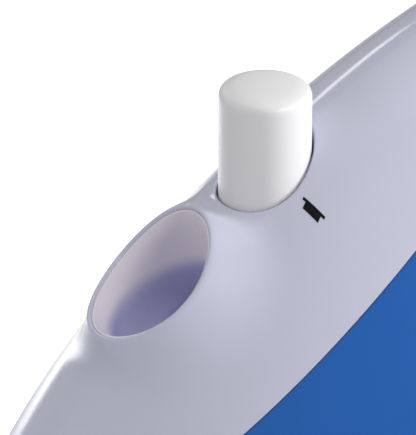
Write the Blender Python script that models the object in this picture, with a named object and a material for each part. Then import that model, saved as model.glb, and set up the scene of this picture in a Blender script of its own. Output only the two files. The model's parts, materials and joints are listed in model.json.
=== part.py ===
"""A steam iron, as an assembly of its separate pieces.

Metres, +Z up. The nose points to -Y and the port side is +X. The origin is under the middle of the
bounding box, on the plane of the sole. Along the iron, f is the distance forward of the knob's axis.
"""

import math

import bmesh
import bpy
from mathutils import Vector

# Driving dimensions
SOLE_TIP = 0.079
BODY_TIP = 0.076
HEEL_BACK = -0.1875
KNOB_Y = (SOLE_TIP + HEEL_BACK) / 2
KNOB_RIDGE_Z = 0.096
MAX_HALF_WIDTH = 0.056
SHELL_WALL = 0.0024
GAP = 0.0003

DECK_Z = 0.066
TANK_BOTTOM_Z = 0.0243
TANK_REAR = -0.060
BODY_REAR = -0.184
SOLE_REAR = -0.158
HANDLE_HALF_WIDTH = 0.0188
HANDLE_REAR_Z = 0.134
BEND_F = -0.154
BEND_RADIUS = 0.030
GRIP_DEPTH = 0.009

ELEMENT_Z = 0.0129

KNOB_RADIUS = 0.009
KNOB_TOP = 0.1122
KNOB_HOLE_RADIUS = 0.0097

MOUTH_F = 0.0258
MOUTH_Z = 0.0782
MOUTH_TILT = math.radians(40.9)
MOUTH_LENGTH = 0.0149
MOUTH_WIDTH = 0.0121

DIAL_F = -0.098
DIAL_RADIUS = 0.023
DIAL_HEIGHT = 0.0085
DIAL_UNDERSIDE = 0.0670

SOLE_THICKNESS = 0.0045
SKIRT_TOP = 0.0240
SKIRT_FLOOR = (0.0195, 0.0215)
SKIRT_SCREWS = [(0.054, 0.0), (-0.120, 0.020), (-0.120, -0.020)]
REAR_SCREWS = [(0.026, 0.0580), (-0.026, 0.0580)]

# Where the tank's and the bonnet's sections stand, so that their edges run parallel
SEAM_STATIONS = (0.062, 0.057, 0.050, 0.042, 0.034, 0.026, 0.018, 0.010, 0.002, -0.006, -0.014, -0.021,
                 -0.025, -0.029, -0.033, -0.037, -0.042, -0.047, -0.053)

# The finger gap's outline in side view, at the inside of the handle's loop
FINGER_FRONT = -0.052
FINGER_REAR = -0.158
FINGER_TOP = 0.106
FINGER_CORNER = 0.018
COVER_DEPTH = 0.0215

SPOUT_F = 0.0150
INLET_RADIUS = 0.0070
INLET_ANGLE = math.radians(62)
INLET_F = BEND_F - BEND_RADIUS * math.sin(INLET_ANGLE)
INLET_Z = HANDLE_REAR_Z - BEND_RADIUS + BEND_RADIUS * math.cos(INLET_ANGLE)
LENS_F = -0.138


def material(name, colour, roughness, metallic=0.0, transmission=0.0):
    made = bpy.data.materials.new(name)
    made.use_nodes = True
    shader = made.node_tree.nodes["Principled BSDF"]
    shader.inputs["Base Color"].default_value = (*colour, 1.0)
    shader.inputs["Roughness"].default_value = roughness
    shader.inputs["Metallic"].default_value = metallic
    shader.inputs["Transmission Weight"].default_value = transmission
    made.diffuse_color = (*colour, 1.0)
    return made


# Shapes


def at(f, x=0.0, z=0.0):
    """The world point f forward of the knob, x to port and z above the sole."""
    return Vector((x, KNOB_Y - f, z))


def solid(name, points, faces, look):
    mesh = bpy.data.meshes.new(name)
    mesh.from_pydata([tuple(p) for p in points], [], faces)
    work = bmesh.new()
    work.from_mesh(mesh)
    bmesh.ops.remove_doubles(work, verts=work.verts, dist=1e-6)
    bmesh.ops.recalc_face_normals(work, faces=work.faces)
    if work.calc_volume(signed=True) < 0:
        bmesh.ops.reverse_faces(work, faces=work.faces)
    work.to_mesh(mesh)
    work.free()
    mesh.shade_smooth()
    mesh.set_sharp_from_angle(angle=math.radians(35))
    made = bpy.data.objects.new(name, mesh)
    made.data.materials.append(look)
    bpy.context.scene.collection.objects.link(made)
    return made


def loft(name, rings, look):
    """Closed rings of equal length joined in order, with a flat cap on each end."""
    count = len(rings[0])
    points = [p for ring in rings for p in ring]
    faces = []
    for row in range(len(rings) - 1):
        for i in range(count):
            a, b = row * count + i, row * count + (i + 1) % count
            faces.append((a, b, b + count, a + count))
    faces.append(tuple(range(count)))
    faces.append(tuple(range(len(points) - count, len(points))))
    return solid(name, points, faces, look)


def skin(name, outer, inner, look):
    """A closed wall between two grids of points of the same size."""
    rows, columns = len(outer), len(outer[0])
    points = [p for row in outer for p in row] + [p for row in inner for p in row]
    shift = rows * columns
    faces = []
    for r in range(rows - 1):
        for c in range(columns - 1):
            a = r * columns + c
            quad = (a, a + 1, a + columns + 1, a + columns)
            faces.append(quad)
            faces.append(tuple(i + shift for i in reversed(quad)))
    for r in range(rows - 1):
        for c in (0, columns - 1):
            a = r * columns + c
            faces.append((a, a + columns, a + columns + shift, a + shift))
    for c in range(columns - 1):
        for r in (0, rows - 1):
            a = r * columns + c
            faces.append((a, a + 1, a + 1 + shift, a + shift))
    return solid(name, points, faces, look)


def turned(name, profile, look, segments=32):
    """A closed (radius, z) profile turned about the object's own Z axis."""
    rings = []
    for step in range(segments):
        angle = 2 * math.pi * step / segments
        rings.append([Vector((r * math.cos(angle), r * math.sin(angle), z)) for r, z in profile])
    count = len(profile)
    points = [p for ring in rings for p in ring]
    faces = []
    for row in range(segments):
        for i in range(count):
            j, after = (i + 1) % count, (row + 1) % segments
            corners = [row * count + i, row * count + j]
            if profile[j][0] > 0:
                corners.append(after * count + j)
            if profile[i][0] > 0:
                corners.append(after * count + i)
            if len(corners) > 2:
                faces.append(tuple(corners))
    return solid(name, points, faces, look)


def rod(name, radius, low, high, look, segments=20):
    return turned(name, [(0, low), (radius, low), (radius, high), (0, high)], look, segments)


def pipe(name, outer, inner, low, high, look, segments=28):
    return turned(name, [(inner, low), (outer, low), (outer, high), (inner, high)], look, segments)


def box(name, f_range, x_range, z_range, look):
    corners = [at(f, x, z) for z in z_range for f, x in
               ((f_range[0], x_range[0]), (f_range[0], x_range[1]),
                (f_range[1], x_range[1]), (f_range[1], x_range[0]))]
    return loft(name, [corners[:4], corners[4:]], look)


def slab(name, outline, low, high, look):
    """A plan outline of (f, x) points between two heights."""
    return loft(name, [[at(f, x, z) for f, x in outline] for z in (low, high)], look)


def side_prism(name, outline, half_width, look):
    """A side-view outline of (f, z) points, as wide as it says on both sides."""
    return loft(name, [[at(f, x, z) for f, z in outline] for x in (-half_width, half_width)], look)


def open_edges(mesh):
    work = bmesh.new()
    work.from_mesh(mesh)
    count = sum(len(edge.link_faces) != 2 for edge in work.edges)
    work.free()
    return count


def combine(target, tool, operation):
    """Applies a Boolean. The Manifold solver takes over where the Exact one leaves an open edge."""
    modifier = target.modifiers.new(operation, "BOOLEAN")
    modifier.operation = operation
    modifier.object = tool
    for solver in ("EXACT", "MANIFOLD"):
        modifier.solver = solver
        graph = bpy.context.evaluated_depsgraph_get()
        mesh = bpy.data.meshes.new_from_object(target.evaluated_get(graph))
        if not open_edges(mesh):
            break
    target.modifiers.clear()
    old = target.data
    target.data = mesh
    bpy.data.meshes.remove(old)
    mesh.name = target.name
    bpy.data.objects.remove(tool)
    return target


def bevelled(made, width):
    """Chamfers the sharp edges."""
    bevel = made.modifiers.new("edge", "BEVEL")
    bevel.width = width
    bevel.segments = 1
    bevel.limit_method = "ANGLE"
    bevel.angle_limit = math.radians(50)
    graph = bpy.context.evaluated_depsgraph_get()
    made.data = bpy.data.meshes.new_from_object(made.evaluated_get(graph))
    made.modifiers.clear()
    return made


def cut(target, tool):
    return combine(target, tool, "DIFFERENCE")


def join(target, tool):
    return combine(target, tool, "UNION")


def drill(target, radius, f, x, z_range, segments=20):
    tool = rod("drill", radius, z_range[0], z_range[1], target.data.materials[0], segments)
    tool.location = at(f, x)
    bpy.context.view_layer.update()
    return cut(target, tool)


def move(made, f, x=0.0, z=0.0, turn=None):
    made.location = at(f, x, z)
    if turn:
        made.rotation_euler = turn
    bpy.context.view_layer.update()
    return made


def lying(made, f, x, z):
    """Lays an upright shape along the iron, with its top towards the nose."""
    return move(made, f, x, z, (math.pi / 2, 0, 0))


def wire(name, route, radius, look, resolution=2):
    """A round wire through the given points."""
    curve = bpy.data.curves.new(name, "CURVE")
    curve.dimensions = "3D"
    curve.bevel_depth = radius
    curve.bevel_resolution = resolution
    curve.use_fill_caps = True
    spline = curve.splines.new("POLY")
    spline.points.add(len(route) - 1)
    for target, point in zip(spline.points, route):
        target.co = (*point, 1.0)
    curve.materials.append(look)
    made = bpy.data.objects.new(name, curve)
    bpy.context.scene.collection.objects.link(made)
    return made


def smooth_route(points, steps):
    """A Catmull-Rom curve through the points."""
    padded = [points[0] * 2 - points[1], *points, points[-1] * 2 - points[-2]]
    route = []
    for i in range(1, len(padded) - 2):
        a, b, c, d = padded[i - 1:i + 3]
        for step in range(steps):
            t = step / steps
            route.append(0.5 * (2 * b + (c - a) * t + (2 * a - 5 * b + 4 * c - d) * t * t
                                + (3 * b - a - 3 * c + d) * t ** 3))
    return route + [points[-1]]


# The outer form


def smoothstep(t):
    t = min(1.0, max(0.0, t))
    return t * t * (3 - 2 * t)


def smooth_min(a, b, k):
    h = max(0.0, 1 - abs(a - b) / k)
    return min(a, b) - h * h * k / 4


def plan_half_width(f):
    """Half of the body's width: a pointed nose that widens to the middle, and round rear corners."""
    d = BODY_TIP - f
    if d <= 0:
        return 0.0
    if d < 0.15:
        width = MAX_HALF_WIDTH * (1 - (1 - d / 0.15) ** 1.9) ** 0.8
    else:
        width = MAX_HALF_WIDTH - 0.006 * ((d - 0.15) / 0.11) ** 2
    corner = 0.012
    into = min(1.0, max(0.0, (BODY_REAR + corner - f) / corner))
    return width - corner * (1 - math.sqrt(1 - into * into))


def ridge_height(f):
    """The height of the ridge line above the sole."""
    if f >= -0.060:
        return KNOB_RIDGE_Z - (0.6755 * f + 9.4 * f * f / 2 + 100 * f ** 3 / 6)
    start_z = KNOB_RIDGE_Z + 0.0272
    start_slope, end_slope = 0.2915, -0.05
    length = -0.060 - BEND_F
    t = min(1.0, (-0.060 - f) / length)
    return ((2 * t ** 3 - 3 * t * t + 1) * start_z + (t ** 3 - 2 * t * t + t) * length * start_slope
            + (3 * t * t - 2 * t ** 3) * HANDLE_REAR_Z + (t ** 3 - t * t) * length * end_slope)


def crown(x):
    """How far the rounded ridge has dropped at x from its middle."""
    steepness, roundness = 1.66, 0.01385
    return steepness * (math.hypot(x, roundness * steepness) - roundness * steepness)


def shoulder(x, half_width, softness=0.002, power=8):
    """The turn from the top into the side, which is nearly upright at half_width."""
    q = min(abs(x) / max(half_width, 1e-6), 0.9995) ** power
    return softness * q / (1 - q)


def nose_surface(f, x):
    return ridge_height(f) - crown(x) - shoulder(x, plan_half_width(f))


def deck_surface(f, x):
    width = plan_half_width(f)
    return DECK_Z - 0.003 * (x / width) ** 2 - shoulder(x, width, 0.003, 6)


def lower_surface(f, x):
    """The tank and the body shell: the ridge form at the front, a flat deck under the handle."""
    share = smoothstep((-0.022 - f) / 0.036)
    if share == 0:
        return nose_surface(f, x)
    return (1 - share) * nose_surface(f, x) + share * deck_surface(f, x)


def seam_height(f):
    """The edge between the white bonnet and the blue tank."""
    rising = 0.072 - 0.72 * f
    falling = DECK_Z + 0.023 * smoothstep((f + 0.062) / 0.034)
    return max(smooth_min(rising, falling, 0.002), TANK_BOTTOM_Z)


def half_width_at(surface, f, z):
    low, high = 0.0, plan_half_width(f)
    for _ in range(40):
        middle = (low + high) / 2
        if surface(f, middle) > z:
            low = middle
        else:
            high = middle
    return low


def handle_half_width(f):
    """The upright side of the column and of the handle."""
    f_wide = max(f, -0.040)
    z = seam_height(f_wide)
    width = half_width_at(lower_surface, f_wide, z)
    extra = max(1e-6, ridge_height(f_wide) - z - crown(width))
    q = extra / (0.002 + extra)
    solved = width / q ** (1 / 8)
    share = smoothstep((-0.038 - f) / 0.020)
    return (1 - share) * solved + share * HANDLE_HALF_WIDTH


def upper_drop(f, x):
    """The drop below the ridge at x. The ridge is round at the front and flatter along the handle."""
    flatter = 1 - 0.6 * smoothstep((-0.070 - f) / 0.060)
    return flatter * crown(x) + shoulder(x, handle_half_width(f))


def resample(points, count):
    """The polyline's points, evenly spaced along it."""
    lengths = [0.0]
    for a, b in zip(points, points[1:]):
        lengths.append(lengths[-1] + math.dist(a, b))
    made = []
    for i in range(count):
        want = lengths[-1] * i / (count - 1)
        k = 0
        while k < len(points) - 2 and lengths[k + 1] < want:
            k += 1
        span = lengths[k + 1] - lengths[k]
        t = (want - lengths[k]) / span if span else 0
        made.append(tuple(p + (q - p) * t for p, q in zip(points[k], points[k + 1])))
    return made


def inset(points, distance):
    """A half section moved inwards, along its own normals. It starts at the middle line."""
    made = []
    for i, (x, z) in enumerate(points):
        before, after = points[max(i - 1, 0)], points[min(i + 1, len(points) - 1)]
        along = Vector((after[0] - before[0], after[1] - before[1])).normalized()
        if i == 0:
            along = Vector((1, 0))
        made.append((max(0.0, x + along.y * distance), z - along.x * distance))
    return made


def upper_half_section(f, depth, count):
    """From the ridge down to this depth below it, as (x, height) pairs, evenly spaced."""
    low, high = 0.0, handle_half_width(f) * 0.9995
    for _ in range(40):
        middle = (low + high) / 2
        if upper_drop(f, middle) < depth:
            low = middle
        else:
            high = middle
    fine = [low * (1 - (1 - i / 60) ** 2.2) for i in range(61)]
    return resample([(x, -upper_drop(f, x)) for x in fine], count)


def both_sides(half):
    return [(-x, z) for x, z in reversed(half[1:])] + list(half)


def arc(centre, radius, start, end, steps):
    made = []
    for i in range(steps + 1):
        angle = math.radians(start + (end - start) * i / steps)
        made.append((centre[0] + radius * math.cos(angle), centre[1] + radius * math.sin(angle)))
    return made


def finger_path(offset, foot):
    """The loop's inner line in side view, moved outwards by offset, from the front foot to the rear."""
    r = FINGER_CORNER + offset
    front_corner = (FINGER_FRONT - FINGER_CORNER, FINGER_TOP - FINGER_CORNER)
    rear_corner = (FINGER_REAR + FINGER_CORNER, FINGER_TOP - FINGER_CORNER + 0.002)
    path = [(FINGER_FRONT + offset, foot), (FINGER_FRONT + offset, foot + 0.012)]
    path += arc(front_corner, r, 0, 90, 7)
    path += arc(rear_corner, r, 90, 180, 7)
    path += [(FINGER_REAR - offset, foot + 0.012), (FINGER_REAR - offset, foot)]
    return path


def lower_ring(f, lift, bottom, wall):
    """One closed section of the tank or the body, from its flat or crowned top to the bottom."""
    columns, rows = 6, 6
    top = min(seam_height(f), lower_surface(f, 0))
    edge = half_width_at(lower_surface, f, min(seam_height(f), lower_surface(f, 0) - 1e-4))
    half = [(edge * i / columns, min(top, lower_surface(f, edge * i / columns)))
            for i in range(columns)]
    side_top = min(seam_height(f), lower_surface(f, 0) - 1e-4)
    for i in range(rows + 1):
        z = side_top + (bottom - side_top) * (i / rows) ** 1.6
        half.append((half_width_at(lower_surface, f, z), z))
    if wall:
        half = inset(half, wall)
        half[-1] = (half[-1][0], bottom - 0.004)
    return [at(f, x, z + lift) for x, z in both_sides(half)]


def trim_to_deck(target):
    """Takes away what would stand inside the lower body."""
    stations = [-0.024, -0.030, -0.036, -0.042, -0.048, -0.054, -0.062, -0.080, -0.120, -0.160, -0.190]
    rings = [lower_ring(max(f, BODY_REAR + 0.002), 3 * GAP, TANK_BOTTOM_Z, 0) for f in stations]
    for ring, f in zip(rings, stations):
        for p in ring:
            p.y = KNOB_Y - f
    return cut(target, loft("deck_clearance", rings, target.data.materials[0]))


# The sole


def plan_outline(tip, rear, inset_by, steps=16, corner=0.014):
    """A closed (f, x) outline with a pointed front and round rear corners."""
    def half(f):
        return max(0.0, plan_half_width(f + BODY_TIP - tip) - inset_by)

    front = tip
    while half(front) <= 0.0004:
        front -= 0.0002
    side = []
    for i in range(steps + 1):
        f = front + (rear + corner - front) * (i / steps) ** 1.7
        side.append((f, half(f)))
    rear_x = side[-1][1]
    for i in range(1, 6):
        angle = math.pi / 2 * i / 5
        side.append((rear + corner * (1 - math.sin(angle)), rear_x - corner * (1 - math.cos(angle))))
    return side + [(f, -x) for f, x in reversed(side)]


def soleplate(look):
    made = slab("soleplate", plan_outline(SOLE_TIP, SOLE_REAR - 0.001, -0.001), 0.0, SOLE_THICKNESS, look)
    bevelled(made, 0.0012)
    holes = [(0.058, 0.0)]
    for f in (0.046, 0.030, 0.012, -0.008, -0.028):
        x = plan_half_width(f) * 0.62
        holes += [(f, x), (f, -x)]
    for f in (-0.050, -0.078, -0.106):
        x = plan_half_width(f) * 0.66
        holes += [(f, x), (f, -x)]
    for f, x in holes:
        drill(made, 0.0018, f, x, (-0.002, 0.008), 8)
    return made


def element_line(f):
    return plan_half_width(f) - 0.021


def element_route():
    """The middle line of the element's U, from its port end round the nose to its starboard end."""
    fs = [-0.132, -0.110, -0.085, -0.060, -0.035, -0.012, 0.006, 0.018, 0.026]
    port = [at(f, element_line(f), ELEMENT_Z) for f in fs]
    nose = at(0.031, 0.0, ELEMENT_Z)
    return smooth_route(port + [nose] + [Vector((-p.x, p.y, p.z)) for p in reversed(port)], 2)


def element_channel(look):
    """The open channel that the element lies in: its line, widened, and run past its two ends."""
    route = element_route()
    past = Vector((0, 0.012, 0))
    route = [route[0] + past, *route, route[-1] + past]
    sides = ([], [])
    for i, p in enumerate(route):
        along = (route[min(i + 1, len(route) - 1)] - route[max(i - 1, 0)]).normalized()
        for rows, way in zip(sides, (0.0037, -0.0037)):
            rows.append(p + Vector((along.y, -along.x, 0)) * way)
    outline = sides[0] + sides[1][::-1]
    rings = [[Vector((p.x, p.y, z)) for p in outline] for z in (0.0090, 0.0200)]
    return loft("channel", rings, look)


def heater_casting(look):
    made = slab("heater_casting", plan_outline(SOLE_TIP - 0.004, -0.150, 0.005), 0.0048, 0.0160, look)
    cut(made, element_channel(look))
    cut(made, box("chamber", (-0.040, 0.012), (-0.011, 0.011), (0.0085, 0.020), look))
    for f, x in SKIRT_SCREWS:
        join(made, move(rod("boss", 0.0045, 0.010, 0.0190, look), f, x))
    for f, x in SKIRT_SCREWS:
        drill(made, 0.0020, f, x, (0.0090, 0.030))
    return made


def heating_element(look):
    """The tube in the channel, with both ends turned up through the skirt's floor."""
    route = element_route()
    ends = []
    for p in (route[0], route[-1]):
        ends.append([p + Vector((0, 0.0045, 0.0008)), p + Vector((0, 0.0062, 0.0050)),
                     p + Vector((0, 0.0064, 0.0170))])
    return wire("heating_element", ends[0][::-1] + route + ends[1], 0.0033, look, 1)


def chamber_gasket(look):
    made = box("chamber_gasket", (-0.046, 0.018), (-0.015, 0.015), (0.0163, 0.0168), look)
    return cut(made, box("inside", (-0.0405, 0.0125), (-0.0115, 0.0115), (0.015, 0.018), look))


def steam_chamber_cover(look):
    made = box("steam_chamber_cover", (-0.046, 0.018), (-0.015, 0.015), (0.0171, 0.0185), look)
    return drill(made, 0.0052, 0.0, 0.0, (0.015, 0.020))


def heat_skirt(look):
    """The side wall, with a floor inside it that everything above the casting stands on."""
    inside = plan_outline(BODY_TIP - 0.002, SOLE_REAR + 0.0026, 0.0028)
    made = slab("heat_skirt", plan_outline(BODY_TIP, SOLE_REAR, 0.0002), 0.0055, SKIRT_TOP, look)
    cut(made, slab("under", inside, 0.0, SKIRT_FLOOR[0], look))
    cut(made, slab("over", inside, SKIRT_FLOOR[1], 0.0300, look))
    cut(made, box("seat_way", (-0.010, 0.010), (-0.010, 0.010), (0.018, 0.023), look))
    cut(made, box("earth_way", (-0.151, -0.1405), (-0.0050, 0.0050), (0.018, 0.023), look))
    cut(made, box("thermostat_way", (-0.118, -0.084), (-0.013, 0.013), (0.018, 0.023), look))
    cut(made, box("fuse_way", (-0.1365, -0.1205), (-0.0085, 0.0085), (0.018, 0.023), look))
    for side in (-1, 1):
        x = side * element_line(-0.132)
        drill(made, 0.0055, -0.138, x, (0.018, 0.023))
    for f, x in SKIRT_SCREWS:
        drill(made, 0.0021, f, x, (0.018, 0.023))
    return trim_nose(made)


def trim_nose(made):
    """Takes away what would stand out in front of the ridge line."""
    outline = [(0.095, 0.0), (0.0745, 0.0)]
    for i in range(9):
        z = 0.010 + 0.018 * i / 8
        f = 0.0760
        while ridge_height(f) < z:
            f -= 0.0001
        outline.append((f, z))
    outline.append((0.095, 0.028))
    return cut(made, side_prism("nose_clearance", outline, 0.04, made.data.materials[0]))


# The tank


def tank_shell(look):
    fs = [0.0645, *SEAM_STATIONS, TANK_REAR]
    outer = [lower_ring(f, 0.0, TANK_BOTTOM_Z, 0) for f in fs]
    made = loft("tank_shell", outer, look)
    inner_fs = [0.0535, *SEAM_STATIONS[2:], TANK_REAR + SHELL_WALL]
    cut(made, loft("cavity", [lower_ring(f, 0.0, TANK_BOTTOM_Z, SHELL_WALL) for f in inner_fs], look))
    drill(made, 0.0048, 0.0, 0.0, (0.060, 0.090))
    drill(made, 0.0072, SPOUT_F, 0.0, (0.050, 0.090))
    return made


def tank_base(look):
    """Closes the tank's open bottom from inside its walls."""
    side = []
    for f in (0.053, 0.048, 0.040, 0.030, 0.018, 0.004, -0.012, -0.030, -0.045, -0.0570):
        x = half_width_at(lower_surface, f, TANK_BOTTOM_Z + 0.001) - SHELL_WALL - 0.0009
        side.append((f, max(x, 0.003)))
    made = slab("tank_base", side + [(f, -x) for f, x in reversed(side)],
                TANK_BOTTOM_Z, TANK_BOTTOM_Z + 0.0022, look)
    return drill(made, 0.0056, 0.0, 0.0, (0.020, 0.030))


def valve_seat(look):
    profile = [(0.0011, 0.0140), (0.0045, 0.0140), (0.0045, 0.0234), (0.0022, 0.0234),
               (0.0011, 0.0222)]
    return move(turned("valve_seat", profile, look, 16), 0.0)


def seat_grommet(look):
    return move(pipe("seat_grommet", 0.0085, 0.0048, 0.0196, 0.0236, look, 16), 0.0)


def valve_guide(look):
    profile = [(0.0021, 0.050), (0.0044, 0.050), (0.0044, 0.0785), (0.0068, 0.0785),
               (0.0068, 0.0800), (0.0021, 0.0800)]
    return move(turned("valve_guide", profile, look, 16), 0.0)


def valve_rod(look):
    profile = [(0, 0.0282), (0.0006, 0.0282), (0.0016, 0.0300), (0.0016, 0.0996), (0, 0.0996)]
    return move(turned("valve_rod", profile, look, 16), 0.0)


def knob_spring(look):
    turns, low, high, radius = 4, 0.0812, 0.1010, 0.0056
    steps = 9
    route = []
    for i in range(turns * steps + 1):
        t = i / (turns * steps)
        angle = 2 * math.pi * turns * t
        height = low + (high - low) * t
        route.append(Vector((radius * math.cos(angle), KNOB_Y + radius * math.sin(angle), height)))
    return wire("knob_spring", route, 0.0005, look, 1)


def steam_knob(look):
    """A tall cup with a soft top edge and a boss for the rod. Its origin is on its own axis."""
    edge = 0.0008
    low = 0.0862 - KNOB_TOP
    profile = [(0, 0), (KNOB_RADIUS - edge, 0), (KNOB_RADIUS - edge * 0.3, -edge * 0.3),
               (KNOB_RADIUS, -edge), (KNOB_RADIUS, low), (0.0074, low), (0.0074, -0.0104),
               (0.0028, -0.0104), (0.0028, -0.0122), (0, -0.0122)]
    made = turned("steam_knob", list(reversed(profile)), look, 32)
    return move(made, 0.0, 0.0, KNOB_TOP)


def funnel_ring(centre_f, centre_z, length, width, tilt, count=24):
    ring = []
    for i in range(count):
        angle = 2 * math.pi * i / count
        along, across = length * math.cos(angle), width * math.sin(angle)
        ring.append(at(centre_f - along * math.cos(tilt), across, centre_z + along * math.sin(tilt)))
    return ring


def funnel_rings(grow):
    """The funnel's rings from its rim to its spout. Its axis turns from the mouth's to upright."""
    rim = funnel_ring(MOUTH_F, MOUTH_Z, MOUTH_LENGTH - 0.0016 + grow, MOUTH_WIDTH - 0.0016 + grow,
                      MOUTH_TILT)
    neck = funnel_ring(0.0215, 0.0735, 0.0118 + grow, 0.0100 + grow, MOUTH_TILT)
    throat = funnel_ring(0.0172, 0.0690, 0.0080 + grow, 0.0076 + grow, math.radians(22))
    spout = funnel_ring(SPOUT_F, 0.0650, 0.0056 + grow, 0.0056 + grow, 0.0)
    tip = funnel_ring(SPOUT_F, 0.0560, 0.0052 + grow, 0.0052 + grow, 0.0)
    return [rim, neck, throat, spout, tip]


def mouth_normal():
    return Vector((0, -math.sin(MOUTH_TILT), math.cos(MOUTH_TILT)))


def filler_funnel(look):
    made = loft("filler_funnel", funnel_rings(0.0012), look)
    hollow = funnel_rings(0.0)
    hollow.insert(0, [p + mouth_normal() * 0.002 for p in hollow[0]])
    hollow.append([p - Vector((0, 0, 0.002)) for p in hollow[-1]])
    return cut(made, loft("hollow", hollow, look))


# The white upper pieces


def upper_skin(name, fs, foot, look):
    """A wall under the ridge line, made taller where the ridge is steep."""
    count = 11
    outer, inner = [], []
    for f in fs:
        half = upper_half_section(f, ridge_height(f) - foot(f), count)
        lowest = half[-1][1]
        slope = (ridge_height(f - 0.001) - ridge_height(f + 0.001)) / 0.002
        extra = SHELL_WALL * (math.sqrt(1 + slope * slope) - 1)
        thin = [(x, max(z - extra * (1 - i / (count - 1)) ** 0.5, lowest))
                for i, (x, z) in enumerate(inset(half, SHELL_WALL))]
        thin[-1] = (thin[-1][0], lowest)
        outer.append([at(f, x, ridge_height(f) + z) for x, z in both_sides(half)])
        inner.append([at(f, x, ridge_height(f) + z) for x, z in both_sides(thin)])
    return skin(name, outer, inner, look)


def mouth_ring(length, width, along_normal):
    centre_f = MOUTH_F + along_normal * math.sin(MOUTH_TILT)
    centre_z = MOUTH_Z + along_normal * math.cos(MOUTH_TILT)
    return funnel_ring(centre_f, centre_z, length, width, MOUTH_TILT, 28)


def finger_clearance(look):
    return side_prism("finger_clearance", finger_path(GRIP_DEPTH + GAP, 0.040), 0.06, look)


def bonnet(look):
    fs = [0.0664, 0.0652, *SEAM_STATIONS, -0.0620]
    made = upper_skin("bonnet", fs, lambda f: seam_height(f) + GAP, look)
    cut(made, finger_clearance(look))
    flare = [(0.0200, 0.0186, -0.0085), (0.0186, 0.0166, -0.0040), (0.0172, 0.0146, -0.0012),
             (0.0166, 0.0138, 0.0)]
    join(made, loft("collar", [mouth_ring(*ring) for ring in flare], look))
    hole = [mouth_ring(MOUTH_LENGTH, MOUTH_WIDTH, depth) for depth in (-0.0140, 0.004)]
    cut(made, loft("mouth", hole, look))
    drill(made, KNOB_HOLE_RADIUS, 0.0, 0.0, (0.070, 0.120), 28)
    return made


def handle_cover(look):
    fs = [-0.0624, -0.070, -0.080, -0.090, -0.100, -0.110, -0.120, -0.130, -0.140, -0.148, BEND_F]
    count = 8
    outer, inner = [], []
    for f in fs:
        half = upper_half_section(f, COVER_DEPTH, count)
        thin = inset(half, SHELL_WALL)
        thin[-1] = (thin[-1][0], half[-1][1])
        outer.append([at(f, x, ridge_height(f) + z) for x, z in both_sides(half)])
        inner.append([at(f, x, ridge_height(f) + z) for x, z in both_sides(thin)])
    half = upper_half_section(BEND_F, COVER_DEPTH, count)
    thin = inset(half, SHELL_WALL)
    thin[-1] = (thin[-1][0], half[-1][1])
    centre_z = HANDLE_REAR_Z - BEND_RADIUS
    spots = [(math.radians(a), 0.0) for a in range(15, 91, 15)]
    spots += [(math.pi / 2, d) for d in (0.018, 0.0375)]
    for angle, down in spots:
        for rows, section in ((outer, half), (inner, thin)):
            rows.append([at(BEND_F - (BEND_RADIUS + z) * math.sin(angle), x,
                            centre_z + (BEND_RADIUS + z) * math.cos(angle) - down)
                         for x, z in both_sides(section)])
    made = skin("handle_cover", outer, inner, look)
    cut(made, finger_clearance(look))
    trim_to_deck(made)
    tool = rod("inlet_way", INLET_RADIUS + GAP, -0.02, 0.02, look, 28)
    cut(made, move(tool, INLET_F, 0.0, INLET_Z, (-INLET_ANGLE, 0, 0)))
    drill(made, 0.0038, LENS_F, 0.0, (0.120, 0.150))
    return made


def cord_inlet_bush(look):
    """A short bush in the handle's rear corner, with a hole for the supply cord."""
    profile = [(0.0040, -0.0045), (0.0068, -0.0045), (0.0068, 0.0004), (0.0088, 0.0007),
               (0.0082, 0.0017), (0.0050, 0.0017), (0.0040, 0.0010)]
    made = turned("cord_inlet_bush", profile, look, 20)
    return move(made, INLET_F, 0.0, INLET_Z, (-INLET_ANGLE, 0, 0))


def handle_grip(look):
    """The inside of the loop: a U-shaped trough along the finger gap, up, along and down."""
    path = finger_path(0.0, 0.0550)
    outer, inner = [], []
    fine = resample(path, 26)
    for i, (f, z) in enumerate(fine):
        before, after = fine[max(i - 1, 0)], fine[min(i + 1, len(fine) - 1)]
        along = Vector((after[0] - before[0], after[1] - before[1])).normalized()
        away = Vector((-along.y, along.x)) * -1
        lip_f, lip_z = f + away.x * GRIP_DEPTH, z + away.y * GRIP_DEPTH
        width = grip_half_width(lip_f, lip_z)
        rows = ([], [])
        for side_rows, shrink in zip(rows, (0.0, SHELL_WALL)):
            for j in range(-5, 6):
                angle = math.pi / 2 * abs(j) / 5
                across = (width - shrink) * math.sin(angle) ** 0.62 * (1 if j > 0 else -1)
                height = shrink + (GRIP_DEPTH - shrink) * (1 - math.cos(angle) ** 0.62)
                side_rows.append(at(f + away.x * height, across, z + away.y * height))
        outer.append(rows[0])
        inner.append(rows[1])
    made = skin("handle_grip", outer, inner, look)
    return trim_to_deck(made)


def grip_half_width(f, z):
    """The half width of the piece that the grip's lip meets at this point."""
    if f < -0.062:
        return HANDLE_HALF_WIDTH - 0.0006
    low, high = 0.0, handle_half_width(f)
    for _ in range(30):
        middle = (low + high) / 2
        if ridge_height(f) - upper_drop(f, middle) > z:
            low = middle
        else:
            high = middle
    return low


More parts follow.
